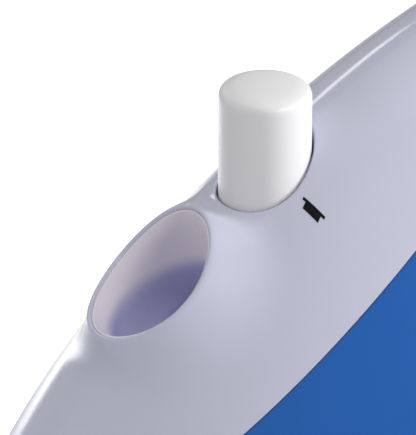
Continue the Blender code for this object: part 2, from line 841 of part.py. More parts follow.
def body_shell(look):
    fs = [-0.0603, -0.080, -0.100, -0.120, -0.140, -0.1605, -0.1608, -0.172, -0.178, -0.182, BODY_REAR]
    outer, inner = [], []
    for f in fs:
        bottom = TANK_BOTTOM_Z if f > -0.1606 else 0.0100
        half = [(plan_half_width(f) * 0.93 * i / 5, 0) for i in range(5)]
        half = [(x, lower_surface(f, x)) for x, _ in half]
        start = half[-1][1]
        for i in range(1, 7):
            z = start + (bottom - start) * (i / 6) ** 1.5
            half.append((half_width_at(lower_surface, f, z), z))
        thin = inset(half, SHELL_WALL)
        thin[-1] = (thin[-1][0], bottom)
        outer.append([at(f, x, z) for x, z in both_sides(half)])
        inner.append([at(f, x, z) for x, z in both_sides(thin)])
    made = skin("body_shell", outer, inner, look)
    join(made, move(rod("dial_seat", 0.0300, 0.0610, 0.0664, look, 32), DIAL_F))
    drill(made, 0.0040, DIAL_F, 0.0, (0.055, 0.070))
    cut(made, box("lead_way", (-0.180, -0.168), (-0.012, 0.012), (0.055, 0.080), look))
    for x, z in REAR_SCREWS:
        join(made, lying(rod("boss", 0.0045, 0.0, 0.018, look), BODY_REAR, x, z))
    for x, z in REAR_SCREWS:
        cut(made, lying(rod("hole", 0.0018, -0.002, 0.014, look), BODY_REAR, x, z))
    return made


def rear_cover(look):
    """The heel: a flat plate over the body's open rear and the handle's foot, with a shelf below."""
    side = [(0.034, 0.0100), (0.038, 0.014), (0.0385, 0.050), (0.036, 0.058), (0.030, 0.064),
            (0.0215, 0.070), (0.0185, 0.078), (0.0175, 0.092), (0.014, 0.098), (0.008, 0.100)]
    outline = side + [(-x, z) for x, z in reversed(side)]
    rings = [[at(f, x, z) for x, z in outline] for f in (HEEL_BACK, BODY_REAR - GAP)]
    made = loft("rear_cover", rings, look)
    bevelled(made, 0.0008)
    join(made, box("shelf", (HEEL_BACK + 0.001, -0.1615), (-0.033, 0.033), (0.0104, 0.0128), look))
    for x, z in REAR_SCREWS:
        cut(made, lying(rod("hole", 0.0019, -0.001, 0.006, look), HEEL_BACK, x, z))
        cut(made, lying(rod("sink", 0.0036, -0.001, 0.0022, look), HEEL_BACK, x, z))
    return made


def screw(name, length, look):
    """A pan-head screw along its own Z, the head on top and a cross recess in it."""
    head, shank = 0.0032, 0.0016
    profile = [(0, -length), (shank, -length), (shank, 0), (head, 0), (head, 0.0008),
               (head * 0.7, 0.0014), (0, 0.0014)]
    made = turned(name, profile, look, 12)
    for turn in (0, math.pi / 2):
        slot = solid("slot", *unit_box(head * 1.2, head * 0.28, 0.0008), look)
        slot.location = (0, 0, 0.0013)
        slot.rotation_euler = (0, 0, turn)
        bpy.context.view_layer.update()
        cut(made, slot)
    return made


def unit_box(length, width, height):
    points = [Vector((sx * length / 2, sy * width / 2, sz * height / 2))
              for sz in (-1, 1) for sx, sy in ((-1, -1), (1, -1), (1, 1), (-1, 1))]
    faces = [(0, 3, 2, 1), (4, 5, 6, 7), (0, 1, 5, 4), (1, 2, 6, 5), (2, 3, 7, 6), (3, 0, 4, 7)]
    return points, faces


def screws(look):
    names = ("skirt_screw_front", "skirt_screw_port", "skirt_screw_starboard")
    for name, (f, x) in zip(names, SKIRT_SCREWS):
        move(screw(name, 0.0115, look), f, x, 0.0218)
    for name, (x, z) in zip(("rear_screw_port", "rear_screw_starboard"), REAR_SCREWS):
        made = screw(name, 0.0125, look)
        move(made, HEEL_BACK + 0.0019, x, z, (-math.pi / 2, 0, 0))


# The controls and what is inside


def temperature_dial(look):
    """A round dial with a raised finger bar. Its origin is on its axis."""
    high = DIAL_HEIGHT
    profile = [(0.0034, 0), (DIAL_RADIUS, 0), (DIAL_RADIUS, high - 0.0012),
               (DIAL_RADIUS - 0.0010, high), (0, high), (0, 0.0050), (0.0034, 0.0050)]
    made = turned("temperature_dial", profile, look, 36)
    bar = solid("bar", *unit_box(0.036, 0.0055, 0.0050), look)
    bar.location = (0, 0, high + 0.0012)
    bpy.context.view_layer.update()
    join(made, bar)
    return move(made, DIAL_F, 0.0, DIAL_UNDERSIDE)


def dial_ring(look):
    return move(pipe("dial_ring", 0.0285, 0.0240, 0.0667, 0.0680, look, 32), DIAL_F)


def thermostat(look):
    made = box("thermostat", (-0.111, -0.087), (-0.010, 0.010), (0.0163, 0.0230), look)
    return join(made, move(rod("neck", 0.0042, 0.022, 0.0290, look), DIAL_F))


def thermostat_shaft(look):
    return move(rod("thermostat_shaft", 0.0030, 0.0293, 0.0716, look), DIAL_F)


def thermal_fuse(look):
    made = rod("thermal_fuse", 0.0025, -0.0068, 0.0068, look, 16)
    return move(made, -0.1285, 0.0, 0.0194, (math.pi / 2, 0, 0))


def earth_tab(look):
    made = box("earth_tab", (-0.1475, -0.1395), (-0.004, 0.004), (0.0163, 0.0171), look)
    return join(made, box("blade", (-0.1475, -0.1467), (-0.0032, 0.0032), (0.0163, 0.0192), look))


def terminal_block(look):
    made = box("terminal_block", (-0.179, -0.167), (-0.015, 0.015), (0.0320, 0.0440), look)
    for x in (-0.0095, 0.0, 0.0095):
        drill(made, 0.0026, -0.173, x, (0.0400, 0.050))
    return made


def terminal_screws(look):
    for name, x in zip(("terminal_screw_live", "terminal_screw_earth", "terminal_screw_neutral"),
                       (0.0095, 0.0, -0.0095)):
        profile = [(0, 0.0404), (0.0022, 0.0404), (0.0022, 0.0436), (0, 0.0436)]
        made = turned(name, profile, look, 14)
        move(made, -0.173, x)


def cord_clamp(look):
    """A bar across the post, above the opening in the deck."""
    made = box("cord_clamp", (-0.1795, -0.1690), (-0.0095, 0.0095), (0.0880, 0.0930), look)
    return drill(made, 0.0040, -0.1745, 0.0, (0.085, 0.096))


def pilot_lens(look):
    top = ridge_height(LENS_F)
    profile = [(0, top + 0.0007), (0.0022, top + 0.0004), (0.0034, top - 0.0003),
               (0.0034, top - 0.0040), (0, top - 0.0040)]
    return move(turned("pilot_lens", list(reversed(profile)), look), LENS_F)


def pilot_lamp(look):
    made = rod("pilot_lamp", 0.0026, -0.0065, 0.0065, look, 16)
    return move(made, LENS_F, 0.0, 0.1245, (math.pi / 2, 0, 0))


def leads(looks):
    """The three inner leads, from the terminal block forward over the casting."""
    live = [at(-0.1660, 0.0095, 0.0365), at(-0.158, 0.0100, 0.0360), at(-0.140, 0.0120, 0.0310),
            at(-0.122, 0.0090, 0.0275), at(-0.1150, 0.0062, 0.0262), at(-0.1128, 0.0060, 0.0215)]
    neutral = [at(-0.1660, -0.0095, 0.0365), at(-0.158, -0.0120, 0.0370),
               at(-0.150, -0.022, 0.0370), at(-0.1385, -element_line(-0.132), 0.0340)]
    earth = [at(-0.1660, 0.0, 0.0365), at(-0.158, 0.0, 0.0340), at(-0.152, 0.0, 0.0270),
             at(-0.1471, 0.0, 0.0213)]
    routes = {"lead_live": live, "lead_neutral": neutral, "lead_earth": earth}
    for name, route in routes.items():
        wire(name, smooth_route(route, 6), 0.0012, looks[name], 1)


def build():
    for old in list(bpy.data.objects):
        bpy.data.objects.remove(old)

    white = material("white_plastic", (0.80, 0.80, 0.84), 0.18)
    knob_white = material("knob_white", (0.82, 0.82, 0.83), 0.25)
    blue = material("tank_blue", (0.03, 0.13, 0.42), 0.12, 0.0, 0.6)
    blue_solid = material("accent_blue", (0.03, 0.13, 0.42), 0.35)
    grey = material("skirt_grey", (0.55, 0.56, 0.60), 0.45)
    steel = material("steel", (0.60, 0.60, 0.60), 0.30, 1.0)
    cast = material("cast_aluminium", (0.62, 0.63, 0.65), 0.55, 1.0)
    sole = material("sole_finish", (0.72, 0.73, 0.75), 0.22, 1.0)
    brass = material("brass", (0.75, 0.58, 0.28), 0.35, 1.0)
    rubber = material("black_rubber", (0.03, 0.03, 0.03), 0.8)
    silicone = material("red_silicone", (0.50, 0.10, 0.07), 0.6)
    ceramic = material("ceramic", (0.85, 0.83, 0.78), 0.5)
    amber = material("amber_lens", (0.85, 0.25, 0.05), 0.15, 0.0, 0.5)
    lead_looks = {"lead_live": material("lead_brown", (0.25, 0.10, 0.05), 0.6),
                  "lead_neutral": material("lead_blue", (0.05, 0.15, 0.50), 0.6),
                  "lead_earth": material("lead_green", (0.15, 0.45, 0.10), 0.6)}

    soleplate(sole)
    heater_casting(cast)
    heating_element(steel)
    chamber_gasket(silicone)
    steam_chamber_cover(steel)
    heat_skirt(grey)
    tank_shell(blue)
    tank_base(blue_solid)
    valve_seat(brass)
    seat_grommet(silicone)
    valve_guide(white)
    valve_rod(steel)
    knob_spring(steel)
    steam_knob(knob_white)
    filler_funnel(white)
    bonnet(white)
    handle_cover(white)
    handle_grip(blue_solid)
    body_shell(white)
    rear_cover(white)
    cord_inlet_bush(rubber)
    temperature_dial(blue_solid)
    dial_ring(grey)
    thermostat(steel)
    thermostat_shaft(steel)
    thermal_fuse(ceramic)
    earth_tab(brass)
    terminal_block(ceramic)
    terminal_screws(brass)
    cord_clamp(grey)
    pilot_lens(amber)
    pilot_lamp(ceramic)
    leads(lead_looks)
    screws(steel)


build()
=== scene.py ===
import json
import math

import bmesh
import bpy
import numpy as np
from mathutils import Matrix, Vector

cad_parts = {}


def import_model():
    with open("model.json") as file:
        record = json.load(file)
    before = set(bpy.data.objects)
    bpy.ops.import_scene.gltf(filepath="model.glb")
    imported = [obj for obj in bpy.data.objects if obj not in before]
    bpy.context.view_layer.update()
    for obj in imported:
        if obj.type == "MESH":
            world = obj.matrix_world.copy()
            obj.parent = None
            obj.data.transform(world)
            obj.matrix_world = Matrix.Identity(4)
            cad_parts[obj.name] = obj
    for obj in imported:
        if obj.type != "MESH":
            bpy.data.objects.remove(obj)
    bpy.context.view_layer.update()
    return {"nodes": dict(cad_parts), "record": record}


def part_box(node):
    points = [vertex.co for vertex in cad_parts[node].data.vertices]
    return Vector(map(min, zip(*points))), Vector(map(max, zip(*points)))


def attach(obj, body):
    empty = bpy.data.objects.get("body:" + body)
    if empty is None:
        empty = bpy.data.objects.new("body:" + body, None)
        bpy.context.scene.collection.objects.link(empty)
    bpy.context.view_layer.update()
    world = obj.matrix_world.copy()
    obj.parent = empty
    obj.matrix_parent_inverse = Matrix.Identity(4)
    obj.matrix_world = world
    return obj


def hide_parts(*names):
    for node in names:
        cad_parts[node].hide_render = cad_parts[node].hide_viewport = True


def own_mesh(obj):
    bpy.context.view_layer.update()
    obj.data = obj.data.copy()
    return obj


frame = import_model()

# The iron's outer form. f is the distance forward of the knob's axis, x goes to port, z up from the sole.
form = {
    "knobY": (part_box("steam_knob")[0][1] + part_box("steam_knob")[1][1]) / 2,
    "bodyTip": 0.076,
    "bodyRear": -0.184,
    "noseLength": 0.150,
    "rearTaper": 0.006,
    "rearLength": 0.110,
    "cornerRadius": 0.012,
    "ridgeJoin": -0.060,
    "crownSteepness": 1.66,
    "crownRoundness": 0.01385,
    "tankRear": -0.060,
    "tankBottom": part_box("tank_shell")[0][2],
    "deckZ": 0.066,
    "ridgeZ": 0.096,
    "maxHalfWidth": 0.056,
    "handleHalfWidth": 0.0188,
    "handleRearZ": 0.134,
    "bendF": -0.154,
    "bendRadius": 0.030,
    "gripDepth": 0.009,
    "wall": 0.0024,
    "gap": 0.0003,
}

fingerGap = {"front": -0.052, "rear": -0.158, "top": 0.106, "rise": 0.002, "corner": 0.018}


def smoothStep(t):
    t = np.clip(t, 0.0, 1.0)
    return t * t * (3 - 2 * t)


def smoothMin(a, b, k):
    h = np.maximum(0.0, 1 - np.abs(a - b) / k)
    return np.minimum(a, b) - h * h * k / 4


def planHalfWidth(f):
    d = np.clip(form["bodyTip"] - np.asarray(f, float), 0.0, None)
    nose, corner = form["noseLength"], form["cornerRadius"]
    front = form["maxHalfWidth"] * (1 - np.clip(1 - d / nose, 0, None) ** 1.9) ** 0.8
    rear = form["maxHalfWidth"] - form["rearTaper"] * ((d - nose) / form["rearLength"]) ** 2
    into = np.clip((form["bodyRear"] + corner - f) / corner, 0.0, 1.0)
    return np.where(d < nose, front, rear) - corner * (1 - np.sqrt(1 - into * into))


def ridgeHeight(f):
    # steepening towards the nose, then one cubic from the join to the handle's bend
    f = np.asarray(f, float)
    ahead = form["ridgeZ"] - (0.6755 * f + 9.4 * f * f / 2 + 100 * f ** 3 / 6)
    length = form["ridgeJoin"] - form["bendF"]
    t = np.clip((form["ridgeJoin"] - f) / length, 0.0, 1.0)
    behind = ((2 * t ** 3 - 3 * t * t + 1) * (form["ridgeZ"] + 0.0272)
              + (t ** 3 - 2 * t * t + t) * length * 0.2915
              + (3 * t * t - 2 * t ** 3) * form["handleRearZ"] - (t ** 3 - t * t) * length * 0.05)
    return np.where(f >= form["ridgeJoin"], ahead, behind)


def crown(x):
    steepness, roundness = form["crownSteepness"], form["crownRoundness"]
    return steepness * (np.hypot(x, roundness * steepness) - roundness * steepness)


def shoulder(x, halfWidth, softness=0.002, power=8):
    q = np.minimum(np.abs(x) / np.maximum(halfWidth, 1e-6), 0.9995) ** power
    return softness * q / (1 - q)


def noseSurface(f, x):
    return ridgeHeight(f) - crown(x) - shoulder(x, planHalfWidth(f))


def deckSurface(f, x):
    width = np.maximum(planHalfWidth(f), 1e-4)
    return form["deckZ"] - 0.003 * (x / width) ** 2 - shoulder(x, width, 0.003, 6)


def lowerSurface(f, x):
    share = smoothStep((-0.022 - np.asarray(f, float)) / 0.036)
    return (1 - share) * noseSurface(f, x) + share * deckSurface(f, x)


def seamHeight(f):
    rising = 0.072 - 0.72 * np.asarray(f, float)
    falling = form["deckZ"] + 0.023 * smoothStep((f + 0.062) / 0.034)
    return np.maximum(smoothMin(rising, falling, 0.002), form["tankBottom"])


def solveWidth(test, low, high, rounds=34):
    # by halving, the x between low and high where test(x) turns from true to false
    low, high = np.broadcast_arrays(np.asarray(low, float), np.asarray(high, float))
    low, high = low.copy(), high.copy()
    for _ in range(rounds):
        middle = (low + high) / 2
        inside = test(middle)
        low = np.where(inside, middle, low)
        high = np.where(inside, high, middle)
    return low


def halfWidthAt(surface, f, z):
    return solveWidth(lambda x: surface(f, x) > z, 0.0, planHalfWidth(f) + 0 * z)


def solvedHalfWidth(f):
    wide = np.maximum(f, -0.040)
    z = seamHeight(wide)
    width = halfWidthAt(lowerSurface, wide, z)
    extra = np.maximum(1e-6, ridgeHeight(wide) - z - crown(width))
    solved = width / (extra / (0.002 + extra)) ** (1 / 8)
    share = smoothStep((-0.038 - f) / 0.020)
    return (1 - share) * solved + share * form["handleHalfWidth"]


widthStations = np.linspace(-0.200, 0.0755, 1200)
widthTable = solvedHalfWidth(widthStations)


def handleHalfWidth(f):
    return np.interp(f, widthStations, widthTable)


def upperDrop(f, x, halfWidth):
    flatter = 1 - 0.6 * smoothStep((-0.070 - f) / 0.060)
    return flatter * crown(x) + shoulder(x, halfWidth)


# Mesh helpers.
def deselect():
    if bpy.context.object and bpy.context.object.mode != "OBJECT":
        bpy.ops.object.mode_set(mode="OBJECT")
    bpy.ops.object.select_all(action="DESELECT")


def makeActive(piece):
    deselect()
    piece.select_set(True)
    bpy.context.view_layer.objects.active = piece


def inEditMode(piece, *operations):
    # runs mesh operators on the whole of a piece
    makeActive(piece)
    bpy.ops.object.mode_set(mode="EDIT")
    selectAll()
    for operation in operations:
        operation()
    bpy.ops.object.mode_set(mode="OBJECT")


def mergeDoubles():
    bpy.ops.mesh.remove_doubles(threshold=2e-6)


def normalsOut():
    bpy.ops.mesh.normals_make_consistent(inside=False)


def selectAll():
    bpy.ops.mesh.select_all(action="SELECT")


def selectNone():
    bpy.ops.mesh.select_all(action="DESELECT")


def turnOutwards(piece, sign=1):
    # flips an open sheet whose faces look towards its own middle, or away from it where sign is -1
    mesh = piece.data
    areas = np.empty(len(mesh.polygons))
    normals = np.empty(len(mesh.polygons) * 3)
    centres = np.empty(len(mesh.polygons) * 3)
    mesh.polygons.foreach_get("area", areas)
    mesh.polygons.foreach_get("normal", normals)
    mesh.polygons.foreach_get("center", centres)
    normals, centres = normals.reshape(-1, 3), centres.reshape(-1, 3)
    middle = (centres * areas[:, None]).sum(0) / areas.sum()
    if sign * (areas * (normals * (centres - middle)).sum(1)).sum() < 0:
        inEditMode(piece, bpy.ops.mesh.flip_normals)


def placedGrid(name, points):
    # a grid primitive whose rows and columns are moved onto the given points
    points = np.asarray(points, float)
    rows, columns = points.shape[:2]
    deselect()
    bpy.ops.mesh.primitive_grid_add(x_subdivisions=columns - 1, y_subdivisions=rows - 1, size=1)
    piece = bpy.context.object
    piece.name = piece.data.name = name
    flat = np.empty(rows * columns * 3)
    piece.data.vertices.foreach_get("co", flat)
    flat = flat.reshape(-1, 3)
    column = np.rint((flat[:, 0] + 0.5) * (columns - 1)).astype(int)
    row = np.rint((flat[:, 1] + 0.5) * (rows - 1)).astype(int)
    piece.data.vertices.foreach_set("co", points[row, column].ravel())
    piece.data.update()
    return piece, row, column


def gridPiece(name, points, sign=1, closed=False):
    piece = placedGrid(name, points)[0]
    if closed:
        inEditMode(piece, mergeDoubles, normalsOut)
    else:
        turnOutwards(piece, sign)
    return piece


def applyAll(piece):
    makeActive(piece)
    for modifier in list(piece.modifiers):
        bpy.ops.object.modifier_apply(modifier=modifier.name)


def thicken(piece, thickness):
    # a wall that grows inwards from the drawn surface
    wall = piece.modifiers.new("wall", "SOLIDIFY")
    wall.thickness = thickness
    wall.offset = -1
    wall.thickness_clamp = 1.2
    applyAll(piece)


def roundEdges(piece, width, segments, angle):
    edge = piece.modifiers.new("edge", "BEVEL")
    edge.width = width
    edge.segments = segments
    edge.limit_method = "ANGLE"
    edge.angle_limit = math.radians(angle)
    edge.use_clamp_overlap = True
    applyAll(piece)


def smoothShade(piece, angle):
    makeActive(piece)
    bpy.ops.object.shade_smooth_by_angle(angle=math.radians(angle))


def booleanWith(piece, tool, operation="DIFFERENCE"):
    modifier = piece.modifiers.new("cut", "BOOLEAN")
    modifier.object = tool
    modifier.operation = operation
    applyAll(piece)
    bpy.data.objects.remove(tool)


def joinAll(pieces):
    deselect()
    for piece in pieces:
        piece.select_set(True)
    bpy.context.view_layer.objects.active = pieces[0]
    bpy.ops.object.join()
    return bpy.context.object


def fixCaps(piece):
    # closes any rim that is still open and turns the faces outwards
    work = bmesh.new()
    work.from_mesh(piece.data)
    edges = [edge for edge in work.edges if edge.is_boundary]
    if edges:
        bmesh.ops.holes_fill(work, edges=edges, sides=0)
    bmesh.ops.recalc_face_normals(work, faces=work.faces)
    work.to_mesh(piece.data)
    work.free()


def settle(piece):
    makeActive(piece)
    bpy.ops.object.transform_apply(location=True, rotation=True, scale=True)


def boxPiece(name, centre, size, edge, segments=2):
    # a block with rounded edges
    deselect()
    bpy.ops.mesh.primitive_cube_add(size=1, location=centre)
    piece = bpy.context.object
    piece.name = piece.data.name = name
    piece.scale = size
    settle(piece)
    roundEdges(piece, edge, segments, 40)
    return piece


def respaced(points, shares):
    # points of a line at the given shares of its length
    walked = np.concatenate([[0], np.cumsum(np.hypot(*np.diff(points, axis=0).T))])
    return np.stack([np.interp(shares * walked[-1], walked, points[:, k]) for k in (0, 1)], 1)


def filleted(profile, steps=6):
    # (radius, height, fillet) corners, each fillet drawn as a short curve
    made = []
    for i, (r, z, fillet) in enumerate(profile):
        if not fillet or i in (0, len(profile) - 1):
            made.append((r, z))
            continue
        here = Vector((r, z))
        before = Vector(profile[i - 1][:2]) - here
        after = Vector(profile[i + 1][:2]) - here
        a = here + before.normalized() * min(fillet, before.length / 2)
        b = here + after.normalized() * min(fillet, after.length / 2)
        for step in range(steps + 1):
            t = step / steps
            p = a * (1 - t) ** 2 + here * 2 * t * (1 - t) + b * t * t
            made.append((p.x, p.y))
    return made


def turnedPiece(name, profile, centre, segments=96, tilt=0.0, ripple=None):
    # a profile drawn as a line and spun about an upright axis, then tilted back about X
    outline = filleted(profile)
    mesh = bpy.data.meshes.new(name)
    mesh.from_pydata([(r, 0, z) for r, z in outline], [(i, i + 1) for i in range(len(outline) - 1)], [])
    piece = bpy.data.objects.new(name, mesh)
    bpy.context.scene.collection.objects.link(piece)

    def spinRound():
        bpy.ops.mesh.spin(steps=segments, angle=2 * math.pi, center=(0, 0, 0), axis=(0, 0, 1))

    inEditMode(piece, spinRound, selectAll, mergeDoubles, normalsOut)
    for vertex in piece.data.vertices if ripple else ():
        r = math.hypot(vertex.co.x, vertex.co.y)
        vertex.co.xy *= 1 - ripple(r, vertex.co.z, math.atan2(vertex.co.y, vertex.co.x)) / max(r, 1e-9)
    piece.rotation_euler = (tilt, 0, 0)
    piece.location = centre
    settle(piece)
    return piece


def world(f, x, z):
    f, x, z = np.broadcast_arrays(np.asarray(f, float), x, z)
    return np.stack([x, form["knobY"] - f, z], axis=-1)


def finishPiece(piece, finish, body, *replaced, slot=None, smooth=40):
    # shading and finish, then what the piece rides on and stands for
    if smooth:
        smoothShade(piece, smooth)
    piece.data.materials.clear()
    piece.data.materials.append(finishes[finish])
    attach(piece, body)
    if replaced:
        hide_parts(*replaced)
    print(piece.name, len(piece.data.polygons), "faces")


# Materials.
def nodeGroup(name, inputs):
    # a value with four parts makes a colour socket, a plain number a number socket
    group = bpy.data.node_groups.new(name, "ShaderNodeTree")
    for label, value in inputs.items():
        kind = "NodeSocketColor" if isinstance(value, tuple) else "NodeSocketFloat"
        group.interface.new_socket(name=label, in_out="INPUT", socket_type=kind).default_value = value
    for label in ("Colour", "Roughness", "Height"):
        kind = "NodeSocketColor" if label == "Colour" else "NodeSocketFloat"
        group.interface.new_socket(name=label, in_out="OUTPUT", socket_type=kind)
    return group, group.nodes.new("NodeGroupInput").outputs, group.nodes.new("NodeGroupOutput").inputs


def feed(tree, socket, value):
    # links the socket to another, or sets a plain value on it
    if isinstance(value, bpy.types.NodeSocket):
        tree.links.new(value, socket)
    else:
        socket.default_value = value


def mathNode(tree, operation, *values):
    made = tree.nodes.new("ShaderNodeMath")
    made.operation = operation
    for socket, value in zip(made.inputs, values):
        feed(tree, socket, value)
    return made.outputs[0]


def noiseNode(tree, vector, scale, detail=3.0, roughness=0.5):
    made = tree.nodes.new("ShaderNodeTexNoise")
    for label, value in (("Vector", vector), ("Scale", scale), ("Detail", detail), ("Roughness", roughness)):
        feed(tree, made.inputs[label], value)
    return made.outputs["Fac"]


def mappingNode(tree, vector, scale, rotation=(0, 0, 0)):
    made = tree.nodes.new("ShaderNodeMapping")
    for label, value in (("Vector", vector), ("Scale", scale), ("Rotation", rotation)):
        feed(tree, made.inputs[label], value)
    return made.outputs["Vector"]


def mixColour(tree, factor, a, b):
    made = tree.nodes.new("ShaderNodeMix")
    made.data_type = "RGBA"
    for index, value in ((0, factor), (6, a), (7, b)):  # the colour sockets are the seventh and eighth
        feed(tree, made.inputs[index], value)
    return made.outputs[2]


def buildSurfaceGroup():
    # slow tone changes, fine moulding grain and faint handling marks, for any moulded or cast piece
    group, taken, given = nodeGroup("mouldedSurface", {
        "Colour": (0.8, 0.8, 0.8, 1), "Worn Colour": (0.7, 0.7, 0.7, 1), "Tone": 0.3, "Roughness": 0.3,
        "Roughness Spread": 0.05, "Grain Scale": 900.0, "Marks": 0.3})
    position = group.nodes.new("ShaderNodeTexCoord").outputs["Object"]
    slow = noiseNode(group, position, 28.0)
    grain = noiseNode(group, position, taken["Grain Scale"], 4.0, 0.6)
    marks = noiseNode(group, mappingNode(group, position, (900, 90, 900), (0.4, 0.3, 0.5)), 1.0, 2.0)
    scratch = mathNode(group, "MULTIPLY", mathNode(group, "GREATER_THAN", marks, 0.71), taken["Marks"])
    worn = mathNode(group, "ADD", mathNode(group, "MULTIPLY", slow, taken["Tone"]),
                    mathNode(group, "MULTIPLY", scratch, 0.35))
    spread = mathNode(group, "MULTIPLY", mathNode(group, "SUBTRACT", slow, 0.5), taken["Roughness Spread"])
    rough = mathNode(group, "ADD", mathNode(group, "ADD", taken["Roughness"], spread),
                     mathNode(group, "MULTIPLY", scratch, 0.12))
    feed(group, given["Colour"], mixColour(group, worn, taken["Colour"], taken["Worn Colour"]))
    feed(group, given["Roughness"], rough)
    feed(group, given["Height"], mathNode(group, "SUBTRACT", grain, mathNode(group, "MULTIPLY", scratch, 0.4)))
    return group


def buildBrushedGroup():
    # fine lines along Y, as left by a belt, with wider bands of dull and bright
    group, taken, given = nodeGroup("brushedLines", {
        "Colour": (0.7, 0.7, 0.7, 1), "Dull Colour": (0.5, 0.5, 0.5, 1), "Roughness": 0.25, "Line Depth": 0.5})
    position = group.nodes.new("ShaderNodeTexCoord").outputs["Object"]
    fine = noiseNode(group, mappingNode(group, position, (2600, 40, 2600)), 1.0, 3.0, 0.6)
    slow = noiseNode(group, position, 45.0, 4.0)
    lines = mathNode(group, "MULTIPLY", mathNode(group, "SUBTRACT", fine, 0.5), 0.16)
    rough = mathNode(group, "ADD", mathNode(group, "ADD", taken["Roughness"], lines),
                     mathNode(group, "MULTIPLY", slow, 0.06))
    feed(group, given["Colour"], mixColour(group, mathNode(group, "MULTIPLY", slow, 0.8), taken["Colour"],
                                           taken["Dull Colour"]))
    feed(group, given["Roughness"], rough)
    feed(group, given["Height"], mathNode(group, "MULTIPLY", fine, taken["Line Depth"]))
    return group


mouldedSurface = buildSurfaceGroup()
brushedLines = buildBrushedGroup()


def newMaterial(name):
    made = bpy.data.materials.new(name)
    made.use_nodes = True
    return made, made.node_tree, made.node_tree.nodes["Principled BSDF"]


def groupMaterial(name, group, values, strength, depth):
    # a material whose colour, roughness and bump come from a group, with its own values
    made, tree, shader = newMaterial(name)
    node = tree.nodes.new("ShaderNodeGroup")
    node.node_tree = group
    for label, value in values.items():
        node.inputs[label].default_value = (*value, 1) if isinstance(value, tuple) else value
    bump = tree.nodes.new("ShaderNodeBump")
    bump.inputs["Strength"].default_value = strength
    bump.inputs["Distance"].default_value = depth
    for source, target in ((node.outputs["Colour"], shader.inputs["Base Color"]),
                           (node.outputs["Roughness"], shader.inputs["Roughness"]),
                           (node.outputs["Height"], bump.inputs["Height"]),
                           (bump.outputs["Normal"], shader.inputs["Normal"])):
        tree.links.new(source, target)
    return made, shader


def mouldedMaterial(name, v):
    made, shader = groupMaterial(name, mouldedSurface, {
        "Colour": v["colour"], "Worn Colour": v["worn"], "Tone": v.get("tone", 0.25), "Roughness": v["roughness"],
        "Roughness Spread": v.get("spread", 0.06), "Grain Scale": v.get("grain", 900.0),
        "Marks": v.get("marks", 0.2)}, v.get("bump", 0.05), v.get("depth", 0.00005))
    for label, value in (("Metallic", v.get("metallic", 0.0)), ("IOR", v.get("ior", 1.5)),
                         ("Coat Weight", v.get("coat", 0.0)), ("Coat Roughness", 0.05),
                         ("Transmission Weight", v.get("transmission", 0.0)),
                         ("Subsurface Weight", v.get("subsurface", 0.0)),
                         ("Subsurface Radius", (0.002, 0.002, 0.002)), ("Subsurface Scale", 1.0)):
        shader.inputs[label].default_value = value
    return made


def brushedMaterial(name, v):
    made, shader = groupMaterial(name, brushedLines, {
        "Colour": v["colour"], "Dull Colour": v["dull"], "Roughness": v["roughness"],
        "Line Depth": v.get("lines", 0.5)}, 0.15, 0.00003)
    shader.inputs["Metallic"].default_value = 1.0
    return made


